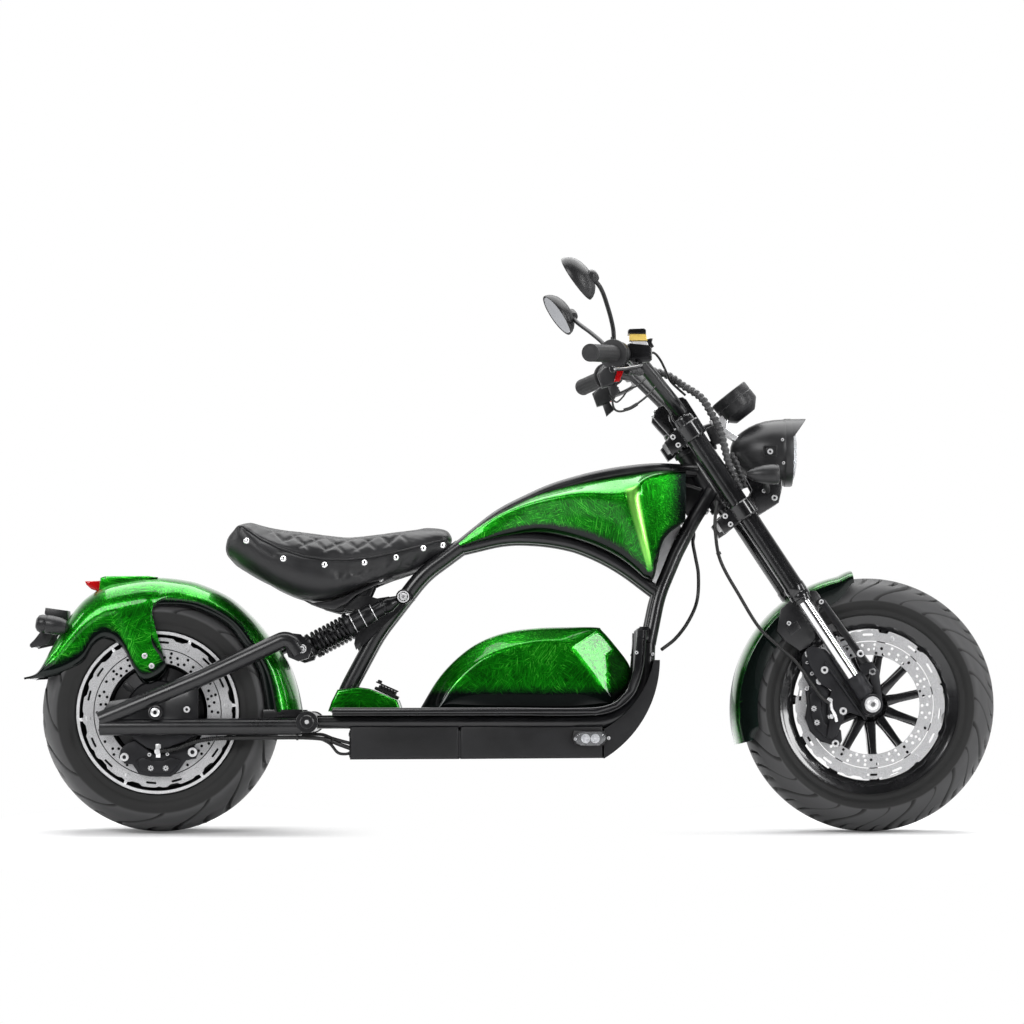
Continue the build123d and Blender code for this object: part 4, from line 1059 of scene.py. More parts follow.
for corner in saddle.verts:
    x, y, z = corner.co
    over = z - seam_height(x)
    if abs(over) < SEAM_HALF and x > 160:
        corner.co -= corner.normal * SEAM_DEPTH * (1 - abs(over) / SEAM_HALF) ** 2
    where = ease(x, 205, 255) * (1 - ease(x, 470, 525)) * ease(over, 10, 24)
    if where > 0 and corner.normal.z > 0.2:
        press = max(line_press(x + way * y * QUILT_SLANT, QUILT_PITCH, QUILT_LINE) for way in (1, -1))
        corner.co += corner.normal * where * (QUILT_RISE - QUILT_DIP * press)
smooth(saddle, saddle.verts, 0.3)
surface_tree = BVHTree.FromBMesh(saddle)


def on_seat(x, z, side):
    """Where a line of sight across the machine meets the seat, and which way the seat faces there."""
    spot, aim, _, _ = surface_tree.ray_cast(Vector((x, side * 400, z)), Vector((0, -side, 0)))
    return spot, aim


PIPING_FROM, PIPING_TO = 163, 574
piping = bmesh.new()
for side in (-1, 1):
    run = []
    for i in range(60):
        x = PIPING_FROM + (PIPING_TO - PIPING_FROM) * i / 59
        spot, aim = on_seat(x, seam_height(x), side)
        if spot:
            run.append(spot + aim * 0.4)
    stamp(piping, bar(run, 2.1, sides=8, steps=150))
seat = release("seat_cover", saddle, "frame", "seat_leather", "seat", sharp=180)
release("seat_piping", piping, "frame", "seat_leather", sharp=180)

studs = bmesh.new()
stud = turned([(0, 3.6), (2.4, 3.3), (4.6, 2.4), (6.2, 0.9), (6.8, -0.6), (6.8, -2), (0, -2)], steps=24)
seats = []
for x, z in ((178, 583), (253, 547), (335, 535), (414, 540), (477, 551), (532, 570), (571, 576)):
    for side in (-1, 1):
        spot, aim = on_seat(x, z, side)
        seats.append(facing(spot, aim))
stamp(studs, stud, *seats)
release("seat_studs", studs, "frame", "chrome")

# %% [markdown]
# ## The fork
#
# The fork leans back by its rake, so its pieces are made in its own frame: height runs up the leg
# from the front axle. Each leg is a glossy tube with a wiper at its lower end, a polished stanchion
# and a cast foot. Two clamps hold the legs. A clamp is a ring round each leg, a plate between them,
# and a split lug behind each ring that two screws pull together.

# %% Fork legs and feet
RAKE = radians(33.3)
LEG_SIDE = 99
FORK = Matrix.Translation((WHEELBASE, 0, FRONT_RADIUS)) @ Matrix.Rotation(-RAKE, 4, "Y")
LEGS = [FORK @ Matrix.Translation((0, side * LEG_SIDE, 0)) for side in (-1, 1)]
STEM_BEHIND = 26


def on_stem(height):
    """A seat on the steering axis, which runs behind the legs."""
    return FORK @ Matrix.Translation((-STEM_BEHIND, 0, height))


def at_side(x, side, z, aim=-1):
    """The seat of a turned part whose axis runs across the machine, on the right or the left."""
    return facing((x, side, z), (0, aim, 0))


def axle_pair(shape, part, x, z, out):
    """Stamp a turned part on a cross axis, once on each side."""
    stamp(shape, part, at_side(x, -out, z), at_side(x, out, z, 1))


shape = bmesh.new()
outer_tube = turned([
    (13.7, 246), (18.6, 246), (19.2, 248), (19.2, 254), (21.4, 256), (21.4, 264), (20.8, 265),
    (20.8, 268), (21.4, 269), (21.4, 283), (20, 286), (20, 684), (18.8, 688), (15, 690), (9, 690),
    (8.4, 692), (0, 692), (0, 600), (13.7, 600)], steps=96)
stamp(shape, outer_tube, *LEGS)
release("fork_tube_pair", shape, "steering", "black_alloy", "fork_tubes")

shape = bmesh.new()
stamp(shape, turned([(0, 50), (13.5, 50), (13.5, 598), (0, 598)], steps=64), *LEGS)
release("stanchions", shape, "steering", "chrome", "fork_stanchions")

shape = bmesh.new()
sleeve = turned([(0, 20), (16, 20), (18, 24), (18.6, 40), (17.4, 43), (17.4, 47), (18.6, 50), (18.2, 64),
                 (16.6, 68), (13.6, 68), (13.6, 56), (0, 56)], steps=64)
stamp(shape, sleeve, *LEGS)
ridge = slab([(14, 24), (21, 28), (21, 58), (14, 64)], LEG_SIDE - 7, LEG_SIDE + 7, edge=2.5)
pair(shape, ridge, FORK @ RIGHT)
boss = turned([(8.2, 80), (19, 80), (21, 82), (21, 117), (19, 119), (13.6, 119), (13.6, 116), (8.2, 116)],
              steps=64)
pair(shape, boss, FRONT_HUB)
web = slab([(1299, 366), (1312, 374), (1338, 366), (1352, 352), (1376, 336), (1398, 300), (1440, 262),
            (1440, 240), (1412, 232), (1386, 240), (1374, 232), (1362, 196), (1350, 186), (1340, 190),
            (1346, 224), (1342, 254), (1350, 284), (1330, 296), (1316, 316), (1304, 340)], 88, 96, edge=2)
stamp(shape, web, RIGHT)
for low, high, far in (((1352, 350), (1430, 232), 100), ((1338, 340), (1418, 226), 99)):
    stamp(shape, bar([(low[0], -far, low[1]), ((low[0] + high[0]) / 2, -far, (low[1] + high[1]) / 2),
                      (high[0], -far, high[1])], 3.2, sides=10, steps=10))
stay_ear = slab([(1408, 336), (1432, 342), (1446, 322), (1452, 266), (1432, 254), (1412, 290)], 82, 92,
                edge=2, holes=[[(1416, 312), (1426, 318), (1432, 286), (1424, 282)]])
pair(shape, stay_ear)
release("fork_castings", shape, "steering", "dark_alloy", "fork_feet")

# %% Clamps and their screws
CLAMPS = (657, 467)
shape, screws = bmesh.new(), bmesh.new()
for at in CLAMPS:
    grip_ring = turned([(20.2, -17), (24.6, -17), (26.6, -14.5), (26.6, 14.5), (24.6, 17), (20.2, 17)],
                       steps=96)
    stamp(shape, grip_ring, *[leg @ Matrix.Translation((0, 0, at)) for leg in LEGS])
    plate = slab([(8, -88), (16, -46), (18, 0), (16, 46), (8, 88), (-26, 88), (-50, 46), (-58, 0), (-50, -46),
                  (-26, -88)], at - 12, at + 12, edge=3.5, segments=3)
    stamp(shape, plate, FORK)
    for gap_side in (0, 1):
        lug = slab([(-16, at + 17), (-36, at + 17), (-58, at + 9), (-58, at - 20), (-42, at - 20),
                    (-16, at - 17)], LEG_SIDE - 12 + 13 * gap_side, LEG_SIDE + 13 * gap_side, edge=2)
        pair(shape, lug, FORK @ RIGHT)
    for up in (9.5, -9.5):
        pair(screws, screw(5.4, 6), FORK @ on_side(-38, at - 1 + up, LEG_SIDE + 12))
stamp(shape, turned([(12.5, 0), (19, 0), (20, 1.5), (20, 9), (17, 12), (0, 12)], steps=48, closed=False),
      on_stem(CLAMPS[0] + 13))
stem = turned([(0, -10), (12, -10), (12, 200), (0, 200)], steps=32)
stamp(shape, stem, on_stem(CLAMPS[1]))
release("clamp_pair", shape, "steering", "black_alloy", "fork_clamps")

# %% [markdown]
# ## The handlebar's fittings
#
# The bar itself is a plain bent tube and keeps its construction shape. Two risers carry it, each
# closed by a small cap with two screws. A grip is a rubber sleeve with a raised lozenge pattern,
# which is a bar whose radius follows two crossing spirals, and it ends in a broad flange.

# %% Risers, grips and flanges
BAR_END = Vector((863, -375, 936))
INWARD = Vector((67, 185, 15)).normalized()


def on_bar(along):
    """A seat on the handlebar, some way in from its end and facing inwards."""
    return facing(BAR_END + INWARD * along, INWARD)


shape = bmesh.new()
riser = slab([(1036, 862), (1042, 874), (1054, 877), (1062, 872), (1090, 828), (1098, 812), (1066, 794),
              (1034, 830), (1030, 846)], 43, 69, edge=3.5, segments=3)
cap = slab([(1006, 856), (997, 846), (996, 834), (1008, 820), (1032, 794), (1042, 800), (1030, 826),
            (1026, 848), (1016, 860)], 46, 66, edge=2.5)
pair(shape, riser)
pair(shape, cap)
release("risers", shape, "steering", "black_alloy")
for x, z in ((1002, 850), (1016, 824)):
    pair(screws, screw(4, 7), facing((x, -56, z), (-0.75, 0, -0.2)))


def grip_radius(u, v):
    """Lozenges between two families of spirals, with a plain ring at each end."""
    plain = 1 - ease(u, 0.03, 0.06) * (1 - ease(u, 0.95, 0.98))
    wave = max(cos(2 * pi * (u * 20 + v * 8)), cos(2 * pi * (u * 20 - v * 8)))
    return 16.4 + 1.2 * plain + 0.9 * (1 - plain) * (1 - ease(wave, 0.55, 0.95))


shape = bmesh.new()
sleeve = bar([BAR_END - INWARD * 4, BAR_END + INWARD * 64, BAR_END + INWARD * 131], grip_radius, sides=64,
             steps=120)
end_plug = turned([(0, 1.5), (8, 1.5), (12, 0.5), (14, -1), (14, -3), (0, -3)], steps=32)
stamp(sleeve, end_plug, facing(BAR_END - INWARD * 4, -INWARD))
pair(shape, sleeve, Matrix())
release("grip_sleeves", shape, "steering", "grip_rubber", "grips", sharp=60)

shape = bmesh.new()
flange = turned([(14.5, 0), (26, 0), (28.4, 1.2), (29, 3), (29, 6), (28.4, 8), (26, 9), (14.5, 9)], steps=72)
pair(shape, flange, on_bar(132))
release("grip_flanges", shape, "steering", "grip_rubber", "grip_collars")

# %% [markdown]
# ## Switches, brake levers and fluid reservoirs
#
# Inside each grip sit a switch housing with a red sliding key, and the brake's master cylinder: a
# black perch clamped to the bar, a bright body, and a square reservoir with a window that shows the
# fluid. The lever is a flat tapered bar with a ball at its end.

# %% Switch housings
shape, keys, fluid = bmesh.new(), bmesh.new(), bmesh.new()
ring = turned([(14.6, 0), (22, 0), (25, 2), (25, 13), (24, 14), (24, 16), (25, 17), (25, 28), (22, 31),
               (14.6, 31)], steps=64)
pair(shape, ring, on_bar(143))
housing = slab([(878, 908), (892, 920), (916, 928), (934, 921), (926, 898), (908, 886), (888, 880)], 209,
               236, edge=4, segments=3)
plug_body = slab([(900, 884), (914, 890), (924, 874), (908, 860)], 212, 232, edge=2)
for part in (housing, plug_body):
    pair(shape, part)
release("switch_housings", shape, "steering", "black_plastic", "switch_pods")
key = slab([(919, 916), (932, 918), (922, 892), (911, 892)], 234, 239, edge=1.2)
pair(keys, key)

# %% Master cylinders and levers
shape, silver = bmesh.new(), bmesh.new()
lid = slab([(940, 990), (940, 998), (944, 1000), (972, 1001), (976, 998), (976, 990)], 170, 208, edge=1.5)
perch = slab([(936, 958), (936, 968), (944, 972), (982, 968), (988, 962), (988, 940), (982, 934),
              (950, 930), (940, 940)], 176, 206, edge=3)
neck = slab([(962, 974), (986, 962), (992, 966), (988, 974), (990, 982), (984, 982)], 184, 200, edge=1.5)
for part in (lid, perch, neck):
    pair(shape, part)
pair(silver, slab([(947, 976), (978, 976), (984, 960), (956, 958)], 174, 204, edge=2.5))
pair(fluid, slab([(943, 977), (943, 990), (976, 990), (979, 977)], 172, 206, edge=2))


def lever_radius(u, v):
    """Flat and broad at the pivot, narrow along the blade, with a ball at the end."""
    across = 1 - 0.28 * abs(cos(2 * pi * v))
    return (7.5 - 3.2 * ease(u, 0.0, 0.3)) * across + 3.4 * ease(u, 0.93, 0.965) * (1 - ease(u, 0.985, 1.01))


blade = bar([(954, -188, 938), (962, -214, 934), (964, -240, 925), (951, -270, 918), (932, -300, 912),
             (904, -352, 906)], lever_radius, sides=20, steps=72)
pair(shape, blade, Matrix())
clamp_ring = turned([(14.6, 0), (19, 0), (20, 1), (20, 15), (19, 16), (14.6, 16)], steps=48)
pair(shape, clamp_ring, on_bar(182))
release("brake_controls", shape, "steering", "black_alloy", "brake_levers")

# %% [markdown]
# ## Mirrors
#
# A mirror is an oval shell with the glass set into its open face, on a thin stalk with a rubber
# boot at its foot. The shell is half an ellipsoid, turned and then stretched along its two axes.

# %% Mirrors
MIRROR = Vector((836, -322, 1086))
glass_out = Vector((-0.79, 0.26, -0.55)).normalized()
glass_long = Vector((0.57, 0, -0.82))
glass_long = (glass_long - glass_out * glass_long.dot(glass_out)).normalized()
turn = Matrix((glass_long, glass_out.cross(glass_long), glass_out)).transposed().to_4x4()
oval = Matrix.Diagonal((0.88, 37 / 56, 1.0, 1.0))
right_head = Matrix.Translation(MIRROR) @ turn @ oval
left_head = Matrix.Translation((-30, 0, -2)) @ FLIPPED @ right_head
shape, glasses = bmesh.new(), bmesh.new()
shell = turned([(0, -30), (14, -29), (28, -25.8), (40, -20.8), (49, -13.5), (54, -6.5), (56, 0),
                (55.5, 1.5), (54, 2), (52.6, 1.5), (52, 0), (52, -2), (0, -2)], steps=96)
stamp(shape, shell, right_head, left_head)
glass = turned([(0, 1.0), (50.8, 1.0), (51.5, 0.4), (51.5, -1.5), (0, -1.5)], steps=96)
stamp(glasses, glass, right_head, left_head)
boot = turned([(0, 0), (9, 0), (9.4, 3), (8, 6), (8.4, 9), (7, 12), (7.4, 15), (6, 19), (5, 26), (0, 26)],
              steps=32)
socket = turned([(0, -14), (11, -10), (12.5, -4), (12.5, 6), (10, 10), (5, 14), (0, 14)], steps=32)
for points, flip in (([(911, -206, 958), (912, -207, 980), (910, -215, 1002), (900, -250, 1035),
                       (884, -302, 1070), (866, -326, 1090)], Matrix()),
                     ([(911, -206, 958), (911, -207, 980), (906, -215, 1006), (880, -252, 1036),
                       (848, -298, 1066), (836, -324, 1084)], FLIPPED)):
    stalk = bar(points, 4.4, sides=16, steps=60)
    stamp(stalk, boot.copy(), facing((911, -206, 958), (0, 0, 1)))
    stamp(stalk, socket.copy(), facing(points[-1], Vector(points[-1]) - Vector(points[-2])))
    stamp(shape, stalk, flip)
boot.free()
socket.free()
release("mirror_shells", shape, "steering", "black_plastic", "mirrors")
release("mirror_faces", glasses, "steering", "mirror_glass")

# %% [markdown]
# ## The gauge
#
# A round instrument in a two-stage cup, tilted towards the rider, on an arm from the upper clamp.

# %% Gauge
GAUGE = Vector((1150, 0, 888))
dial_out = Vector((-0.62, 0, 0.785)).normalized()
shape = bmesh.new()
cup = turned([(0, -4), (37, -4), (38.4, -1), (40, 0), (41.6, -1.2), (42, -3), (42, -17), (41.3, -18),
              (41.3, -19.5), (42, -20.5), (42, -38), (40.6, -41), (27, -55), (23, -58), (0, -58)], steps=96)
stamp(shape, cup, facing(GAUGE, dial_out))
stamp(shape, bar([(1084, 0, 812), (1112, 0, 822), (1138, 0, 830), (1166, 0, 842)], 6, sides=16))
stamp(shape, slab([(1101, 812), (1119, 820), (1134, 784), (1116, 778)], 50, 78, edge=2.5), RIGHT)
stamp(shape, slab([(1104, 786), (1120, 790), (1124, 772), (1112, 766)], 48, 66, edge=1.5), RIGHT)
release("gauge_cup", shape, "steering", "black_plastic", "gauge")
pair(silver, slab([(1112, 834), (1126, 836), (1142, 846), (1150, 838), (1146, 816), (1170, 800),
                   (1164, 790), (1138, 806), (1132, 828), (1116, 824)], 12, 18, edge=1.5))
shape = bmesh.new()
stamp(shape, turned([(0, -1.8), (20, -2.2), (37.2, -3.2), (37.2, -5), (0, -5)], steps=96),
      facing(GAUGE, dial_out))
release("gauge_glass", shape, "steering", "black_gloss")

# %% [markdown]
# ## The headlamp
#
# A bullet-shaped bowl is turned about the line it looks along. A band closes it at the front, a
# peak grows out of the top of the band, and a pocket with a screw sits on each side. Behind the
# ribbed lens is a polished reflector.

# %% Headlamp
LAMP_Z = 768
AHEAD = facing((0, 0, LAMP_Z), (1, 0, 0))
shape = bmesh.new()
bowl = turned([(0, 1154), (12, 1154.6), (24, 1159), (34, 1167), (43, 1178), (52, 1192), (59, 1207),
               (64, 1224), (66.8, 1242), (67.6, 1256), (68.0, 1262), (69.4, 1264), (69.4, 1276), (68, 1279),
               (64.5, 1279), (63.4, 1276), (58, 1262), (44, 1246), (24, 1236), (0, 1232)], steps=128)
stamp(shape, bowl, AHEAD)


def peak_skin(u, v):
    angle = (v - 0.5) * radians(128)
    radius = 68.6
    z = radius * cos(angle)
    reach = max(0.0, (z - 26) * 29 / 42)
    x = 1268 + (10 + reach) * u
    return Vector((x, radius * sin(angle), LAMP_Z + z + 0.6 * u))


peak = sheet(12, 60, peak_skin)
thicken(peak, 2.0)
stamp(shape, peak)
pocket = slab([(1217, 756), (1245, 756), (1245, 778), (1217, 778)], 62, 68.5, edge=1,
              holes=[[(1219.5, 758.5), (1242.5, 758.5), (1242.5, 775.5), (1219.5, 775.5)]])
pair(shape, pocket)
release("headlamp_bowl", shape, "steering", "black_gloss", "headlamp")
bolts(screws, 5.5, (1231, 766, 62, 6.0), (1256, 790, 63, 3.2), (1258, 743, 63, 3.2))

shape = bmesh.new()
lens = turned([(0, 1290), (14, 1289.6), (28, 1288.4), (40, 1286.6), (52, 1283.4), (60, 1279.8),
               (63, 1278.2), (63, 1276.8), (60, 1277), (40, 1283.6), (0, 1287)], steps=96)
stamp(shape, lens, AHEAD)
release("headlamp_front", shape, "steering", "clear_lens", "headlamp_lens")
shape = bmesh.new()
reflector = turned([
    (63, 1276), (54, 1262), (40, 1250), (22, 1243), (12, 1242), (10, 1256), (7, 1262), (0, 1264),
    (0, 1240), (24, 1240), (44, 1247), (58, 1260), (64, 1275)], steps=96, closed=False)
stamp(shape, reflector, AHEAD)
release("headlamp_reflector", shape, "steering", "chrome")

# %% Lamp bracket and front indicators
shape = bmesh.new()
lug_plate = slab([(1182, 716), (1190, 702), (1196, 690), (1180, 652), (1190, 634), (1216, 643), (1250, 664),
                  (1257, 694), (1257, 714)], 28, 37, edge=2)
pair(shape, lug_plate)
release("lamp_bracket_plates", shape, "steering", "black_alloy", "lamp_bracket")
bolts(screws, 6, (1220, 688, 36.5, 4.5), (1241, 674, 36.5, 6.2))

shape = bmesh.new()
bullet = turned([(0, 1180), (4, 1181), (10, 1188), (15, 1199), (18.4, 1213), (20, 1228), (20.3, 1236),
                 (19.6, 1240), (20.2, 1241), (19.4, 1244.5), (17, 1246), (0, 1247)], steps=64)
lamp_seat = facing((0, -108, 717), (1, 0, 0))
pair(shape, bullet, lamp_seat)
stalk = bar([(1227, -34, 688), (1222, -68, 700), (1217, -100, 713)], 6.2, sides=20, steps=12)
pair(shape, stalk, Matrix())
release("indicators_front", shape, "steering", "black_gloss", "front_indicators")

# %% [markdown]
# ## The front brake
#
# The caliper is a cast block that reaches over the disc. Its outside has a raised rim, two slide
# pins with toothed heads, a bleed screw and three mounting bolts. A black bracket ties it to the
# fork's foot, and the hose ends in a bright banjo fitting.

# %% Front caliper
def toothed_pin():
    """A small ring with eight teeth round a hole."""
    part = turned([(1.8, 0), (3.4, 0), (3.4, 2.2), (1.8, 2.2)], steps=16)
    stamp(part, slab([(2.8, -1.0), (5.6, -1.2), (5.6, 1.2), (2.8, 1.0)], 0, 2.2),
          *[spun(45 * i) for i in range(8)])
    return part


def banjo():
    """A hose end: a round eye on a hollow bolt."""
    return turned([(0, -1), (6.4, -1), (7, 0), (7, 6), (6, 7), (4.6, 7), (4.6, 10.5), (4, 11), (0, 11)],
                  steps=24)


shape = bmesh.new()
casting = [(1299, 285), (1302, 255), (1298, 228), (1308, 202), (1328, 182), (1350, 176), (1366, 172),
           (1372, 184), (1370, 204), (1350, 222), (1343, 240), (1344, 262), (1352, 282), (1336, 294),
           (1324, 300), (1310, 294)]
stamp(shape, slab(casting, 67, 86, edge=4, segments=3), RIGHT)
stamp(shape, slab([(1306, 276), (1310, 236), (1318, 208), (1336, 190), (1352, 186), (1352, 204), (1336, 222),
                   (1330, 246), (1334, 276), (1322, 286)], 84, 90, edge=3, segments=3), RIGHT)
stamp(shape, slab([(1352, 280), (1340, 262), (1342, 236), (1350, 222), (1366, 208), (1376, 226), (1378, 252),
                   (1370, 276)], 52, 84, edge=2), RIGHT)
stamp(shape, slab([(1292, 352), (1300, 366), (1320, 368), (1344, 340), (1346, 312), (1334, 292), (1308, 290),
                   (1296, 312)], 70, 78, edge=2), RIGHT)
release("caliper_front", shape, "steering", "dark_alloy", "front_caliper")
for x, z, radius, out in ((1306, 358, 8, 78), (1336, 325, 7.5, 96), (1327, 303, 7.5, 86),
                          (1373, 243, 7.5, 96), (1358, 178, 7.5, 86), (1301, 288, 4.5, 84),
                          (1312, 318, 4, 78), (1303, 340, 3.5, 78)):
    stamp(screws, screw(radius, 6), on_side(x, z, out))
for x, z in ((1315, 248), (1321, 220)):
    stamp(screws, toothed_pin(), on_side(x, z, 90))
for x, z in ((1348, 264), (1350, 232)):
    stamp(screws, banjo(), on_side(x, z, 86))
stamp(screws, bar([(1349, -96, 262), (1350, -98, 248), (1357, -98, 234), (1360, -96, 222)], 3.4, sides=10,
                  steps=12))

# %% [markdown]
# ## Fender stays
#
# A plate on each side of the wheel holds the front fender to the fork tubes, and a flat bar runs
# down from it to an ear on the foot.

# %% Fender stays
shape = bmesh.new()
plate = slab([(1250, 448), (1270, 466), (1300, 486), (1322, 484), (1332, 470), (1324, 430), (1318, 390),
              (1306, 372), (1288, 364), (1258, 384), (1242, 404)], 76.5, 82, edge=1.6)
patch = slab([(1262, 411), (1282, 424), (1290, 409), (1270, 394)], 81, 84, edge=1)
for part in (plate, patch):
    pair(shape, part)
release("stay_plates", shape, "steering", "frame_black", "fender_stays")
shape = bmesh.new()
strip = slab([(1324, 464), (1331, 470), (1339, 466), (1440, 326), (1440, 316), (1433, 312), (1426, 317)],
             81, 86, edge=1.6)
pair(shape, strip)
release("stay_bars", shape, "steering", "frame_black")
bolts(screws, 6, (1409, 358, 86, 7.5), (1433, 322, 86, 8), (1266, 419, 82, 4.5), (1331, 462, 86, 5))
nut = turned([(0, 8), (5, 8), (5.6, 9), (9, 9), (12.4, 7), (13, 5), (13, 2), (16, 2), (16, 0), (0, 0)],
             steps=48)
axle_pair(screws, nut, WHEELBASE, FRONT_RADIUS, 119)
release("front_bolts", screws, "steering", "bright_steel")
release("control_metal", silver, "steering", "bright_steel")
release("switch_keys", keys, "steering", "red_lens")
release("fluid_windows", fluid, "steering", "clear_lens", finish="brake_fluid")

# %% [markdown]
# ## Hoses and looms on the front end
#
# The wires from the bars are gathered in a spiral wrap. Wrap is a bar whose radius swells along a
# helix, so that its edge shows as slanted turns. Brake hoses are plain bars.

# %% Looms and hoses
def wrapped(points, radius, pitch, steps):
    """A loom in spiral wrap."""
    long = path_length(points)
    return bar(points, lambda u, v: radius - 1.6 + 1.9 * ease(cos(2 * pi * (u * long / pitch + v)), -0.5,
                                                              0.6), sides=14, steps=steps)


shape = bmesh.new()
stamp(shape, wrapped([
    (936, -214, 916), (952, -190, 918), (966, -150, 920), (976, -112, 926), (994, -88, 927),
    (1026, -80, 918), (1052, -80, 900), (1091, -94, 872), (1112, -100, 838), (1128, -102, 806),
    (1138, -102, 768), (1146, -100, 738), (1160, -96, 709), (1170, -90, 688)], 8.0, 11.0, 420))
stamp(shape, wrapped([(1151, -62, 762), (1162, -64, 744), (1171, -66, 718), (1180, -66, 692)], 7.0, 10.0, 70))
release("spiral_looms", shape, "steering", "hose_rubber", "steering_hoses", finish="spiral_wrap")

shape = bmesh.new()
for radius, points in (
        (3.5, [(1122, -104, 664), (1118, -106, 636), (1117, -110, 606), (1127, -112, 545), (1167, -108, 471),
               (1205, -104, 410), (1240, -102, 376), (1276, -101, 344), (1304, -101, 306), (1330, -100, 270),
               (1346, -98, 258)]),
        (2.4, [(980, -194, 952), (992, -188, 954), (1004, -170, 944), (1016, -130, 928), (1030, -84, 906),
               (1060, -66, 880)]),
        (2.2, [(912, -224, 868), (909, -222, 852), (914, -220, 838), (926, -216, 835), (944, -208, 842),
               (964, -194, 856), (982, -174, 872), (996, -150, 890)]),
        (1.8, [(904, -222, 866), (916, -220, 853), (928, -216, 862), (940, -210, 878), (956, -200, 886),
               (976, -170, 904)]),
        (3.2, [(1092, -52, 690), (1060, -54, 699), (1030, -56, 704), (1014, -56, 703)][::-1])):
    stamp(shape, bar(points, radius, sides=12, steps=64))
stamp(shape, bar([(932, -212, 838), (944, -208, 842), (958, -198, 851)], 3.6, sides=12, steps=12))
ferrule = turned([(3.4, -3), (4.8, -3), (4.8, 3), (3.4, 3)], steps=16)
stamp(shape, ferrule, facing((1119, -107, 640), (-0.2, 0, -1)), facing((1124, -112, 558), (0.4, 0, -1)))
release("front_hoses", shape, "steering", "hose_rubber")

# %% [markdown]
# ## The shocks
#
# Each rear shock leans forward from the swingarm to the seat tube. In its own frame it stands on
# its lower eye: an eye with a bolt, a tight dark spring on its cup, a body with three bright
# collars, and the upper eye. The spring is a round wire carried along a helix.

# %% Shocks
SHOCK_FOOT = Vector((291, 0, 367))
SHOCK_HEAD = Vector((492, 0, 472))
SHOCK_Y = 84
along = (SHOCK_HEAD - SHOCK_FOOT).normalized()
shape, bright = bmesh.new(), bmesh.new()
column = turned([
    (0, 6), (9, 6), (13, 12), (23, 14), (24, 16), (24, 21), (14, 24), (13, 28), (13, 94), (24, 98),
    (26, 100), (26, 106), (20, 109), (19.4, 112), (19.4, 130), (18.4, 131), (18.4, 134), (19.4, 135),
    (19.4, 152), (17, 156), (16, 160), (16, 178), (14.6, 180), (14.6, 184), (16, 186), (16, 196),
    (13, 202), (9, 214), (0, 216)], steps=64)
COILS, COIL_POINTS = 8, 12
COIL_RADIUS, WIRE_RADIUS = 20.6, 3.7
SPRING_FOOT, SPRING_LENGTH = 25, 72
coil_path = []
for i in range(COILS * COIL_POINTS + 1):
    turn = 2 * pi * i / COIL_POINTS
    height = SPRING_FOOT + SPRING_LENGTH * i / (COILS * COIL_POINTS)
    coil_path.append((COIL_RADIUS * cos(turn), COIL_RADIUS * sin(turn), height))
spring = bar(coil_path, WIRE_RADIUS, sides=10, steps=COILS * 28)
stamp(column, spring)
stamp(shape, column, *[facing(SHOCK_FOOT + Vector((0, side * SHOCK_Y, 0)), along) for side in (-1, 1)])
eye = turned([(7, -12), (13.5, -12), (15, -10), (15, 10), (13.5, 12), (7, 12)], steps=48)
stamp(shape, eye, *[at_side(spot.x, side * SHOCK_Y, spot.z) for spot in (SHOCK_FOOT, SHOCK_HEAD)
                    for side in (-1, 1)])
ear = slab([(262, 399), (288, 396), (312, 370), (303, 348), (283, 342), (264, 350), (256, 372)], 104, 134,
           edge=2.5)
pair(shape, ear)
release("shock_units", shape, "frame", "spring_steel", "shocks")
collar = turned([(16, 0), (24.8, 0), (25.4, 0.4), (25.4, 1.2), (24.8, 1.6), (16, 1.6)], steps=64)
for at, scale in ((112, 0.82), (134, 0.80), (158, 0.70)):
    stamp(bright, collar.copy(), *[facing(SHOCK_FOOT + along * at + Vector((0, side * SHOCK_Y, 0)), along)
                                   @ Matrix.Diagonal((scale, scale, 1, 1)) for side in (-1, 1)])
collar.free()
for spot, radius, out in ((SHOCK_FOOT, 9, 134), (SHOCK_HEAD, 12, 97)):
    for head in (screw(radius * 0.62, 6), turned([(radius * 0.75, 0), (radius, 0), (radius, 2),
                                                  (radius * 0.75, 2)])):
        axle_pair(bright, head, spot.x, spot.z, out)

# %% [markdown]
# ## The rear axle, the brake and the swingarm's fittings
#
# The axle ends in a bright screw on a black cap. The rear caliper sits under the axle: a broad
# cast block with a raised rim, two bolts at its ends, two toothed slide pins below, and a banjo in
# its middle where the ribbed hose starts.

# %% Axle ends and pivot
AXLE_TIP = 146.2
axle_pair(bright, screw(9, 4), 0, REAR_RADIUS, AXLE_TIP)
pivot_cap = turned([(0, 2), (4, 2), (4.6, 5), (12, 5), (14, 3), (14, 0), (0, 0)], steps=48)
shape = bmesh.new()
axle_pair(shape, pivot_cap, 302, 221, 146)
washer = turned([(13, 0), (21, 0), (22, 1), (22, 3), (21, 4), (13, 4)], steps=48)
axle_pair(shape, washer, 302, 221, 144)
cap = turned([(0, 3), (12, 3), (13.6, 1.6), (13.6, -6), (0, -6)], steps=48)
axle_pair(shape, cap, 0, REAR_RADIUS, AXLE_TIP - 2.7)
drop = slab([(-104, 246), (-92, 262), (-52, 268), (-22, 262), (22, 262), (60, 284), (84, 296), (84, 226),
             (-104, 226)], 121.5, 132.5, edge=2, holes=[circle(15, 32, 0, REAR_RADIUS)])
pair(shape, drop)
bolts(bright, 6, (-76, 246, 132, 6.5), (62, 246, 132, 6.5))
tab = slab([(66, 222), (140, 222), (128, 204), (80, 204)], 118, 126, edge=1.5)
stamp(shape, tab, RIGHT)
foot = slab([(212, 246), (290, 246), (294, 230), (280, 224), (212, 224)], 80, 104, edge=2)
pair(shape, foot)
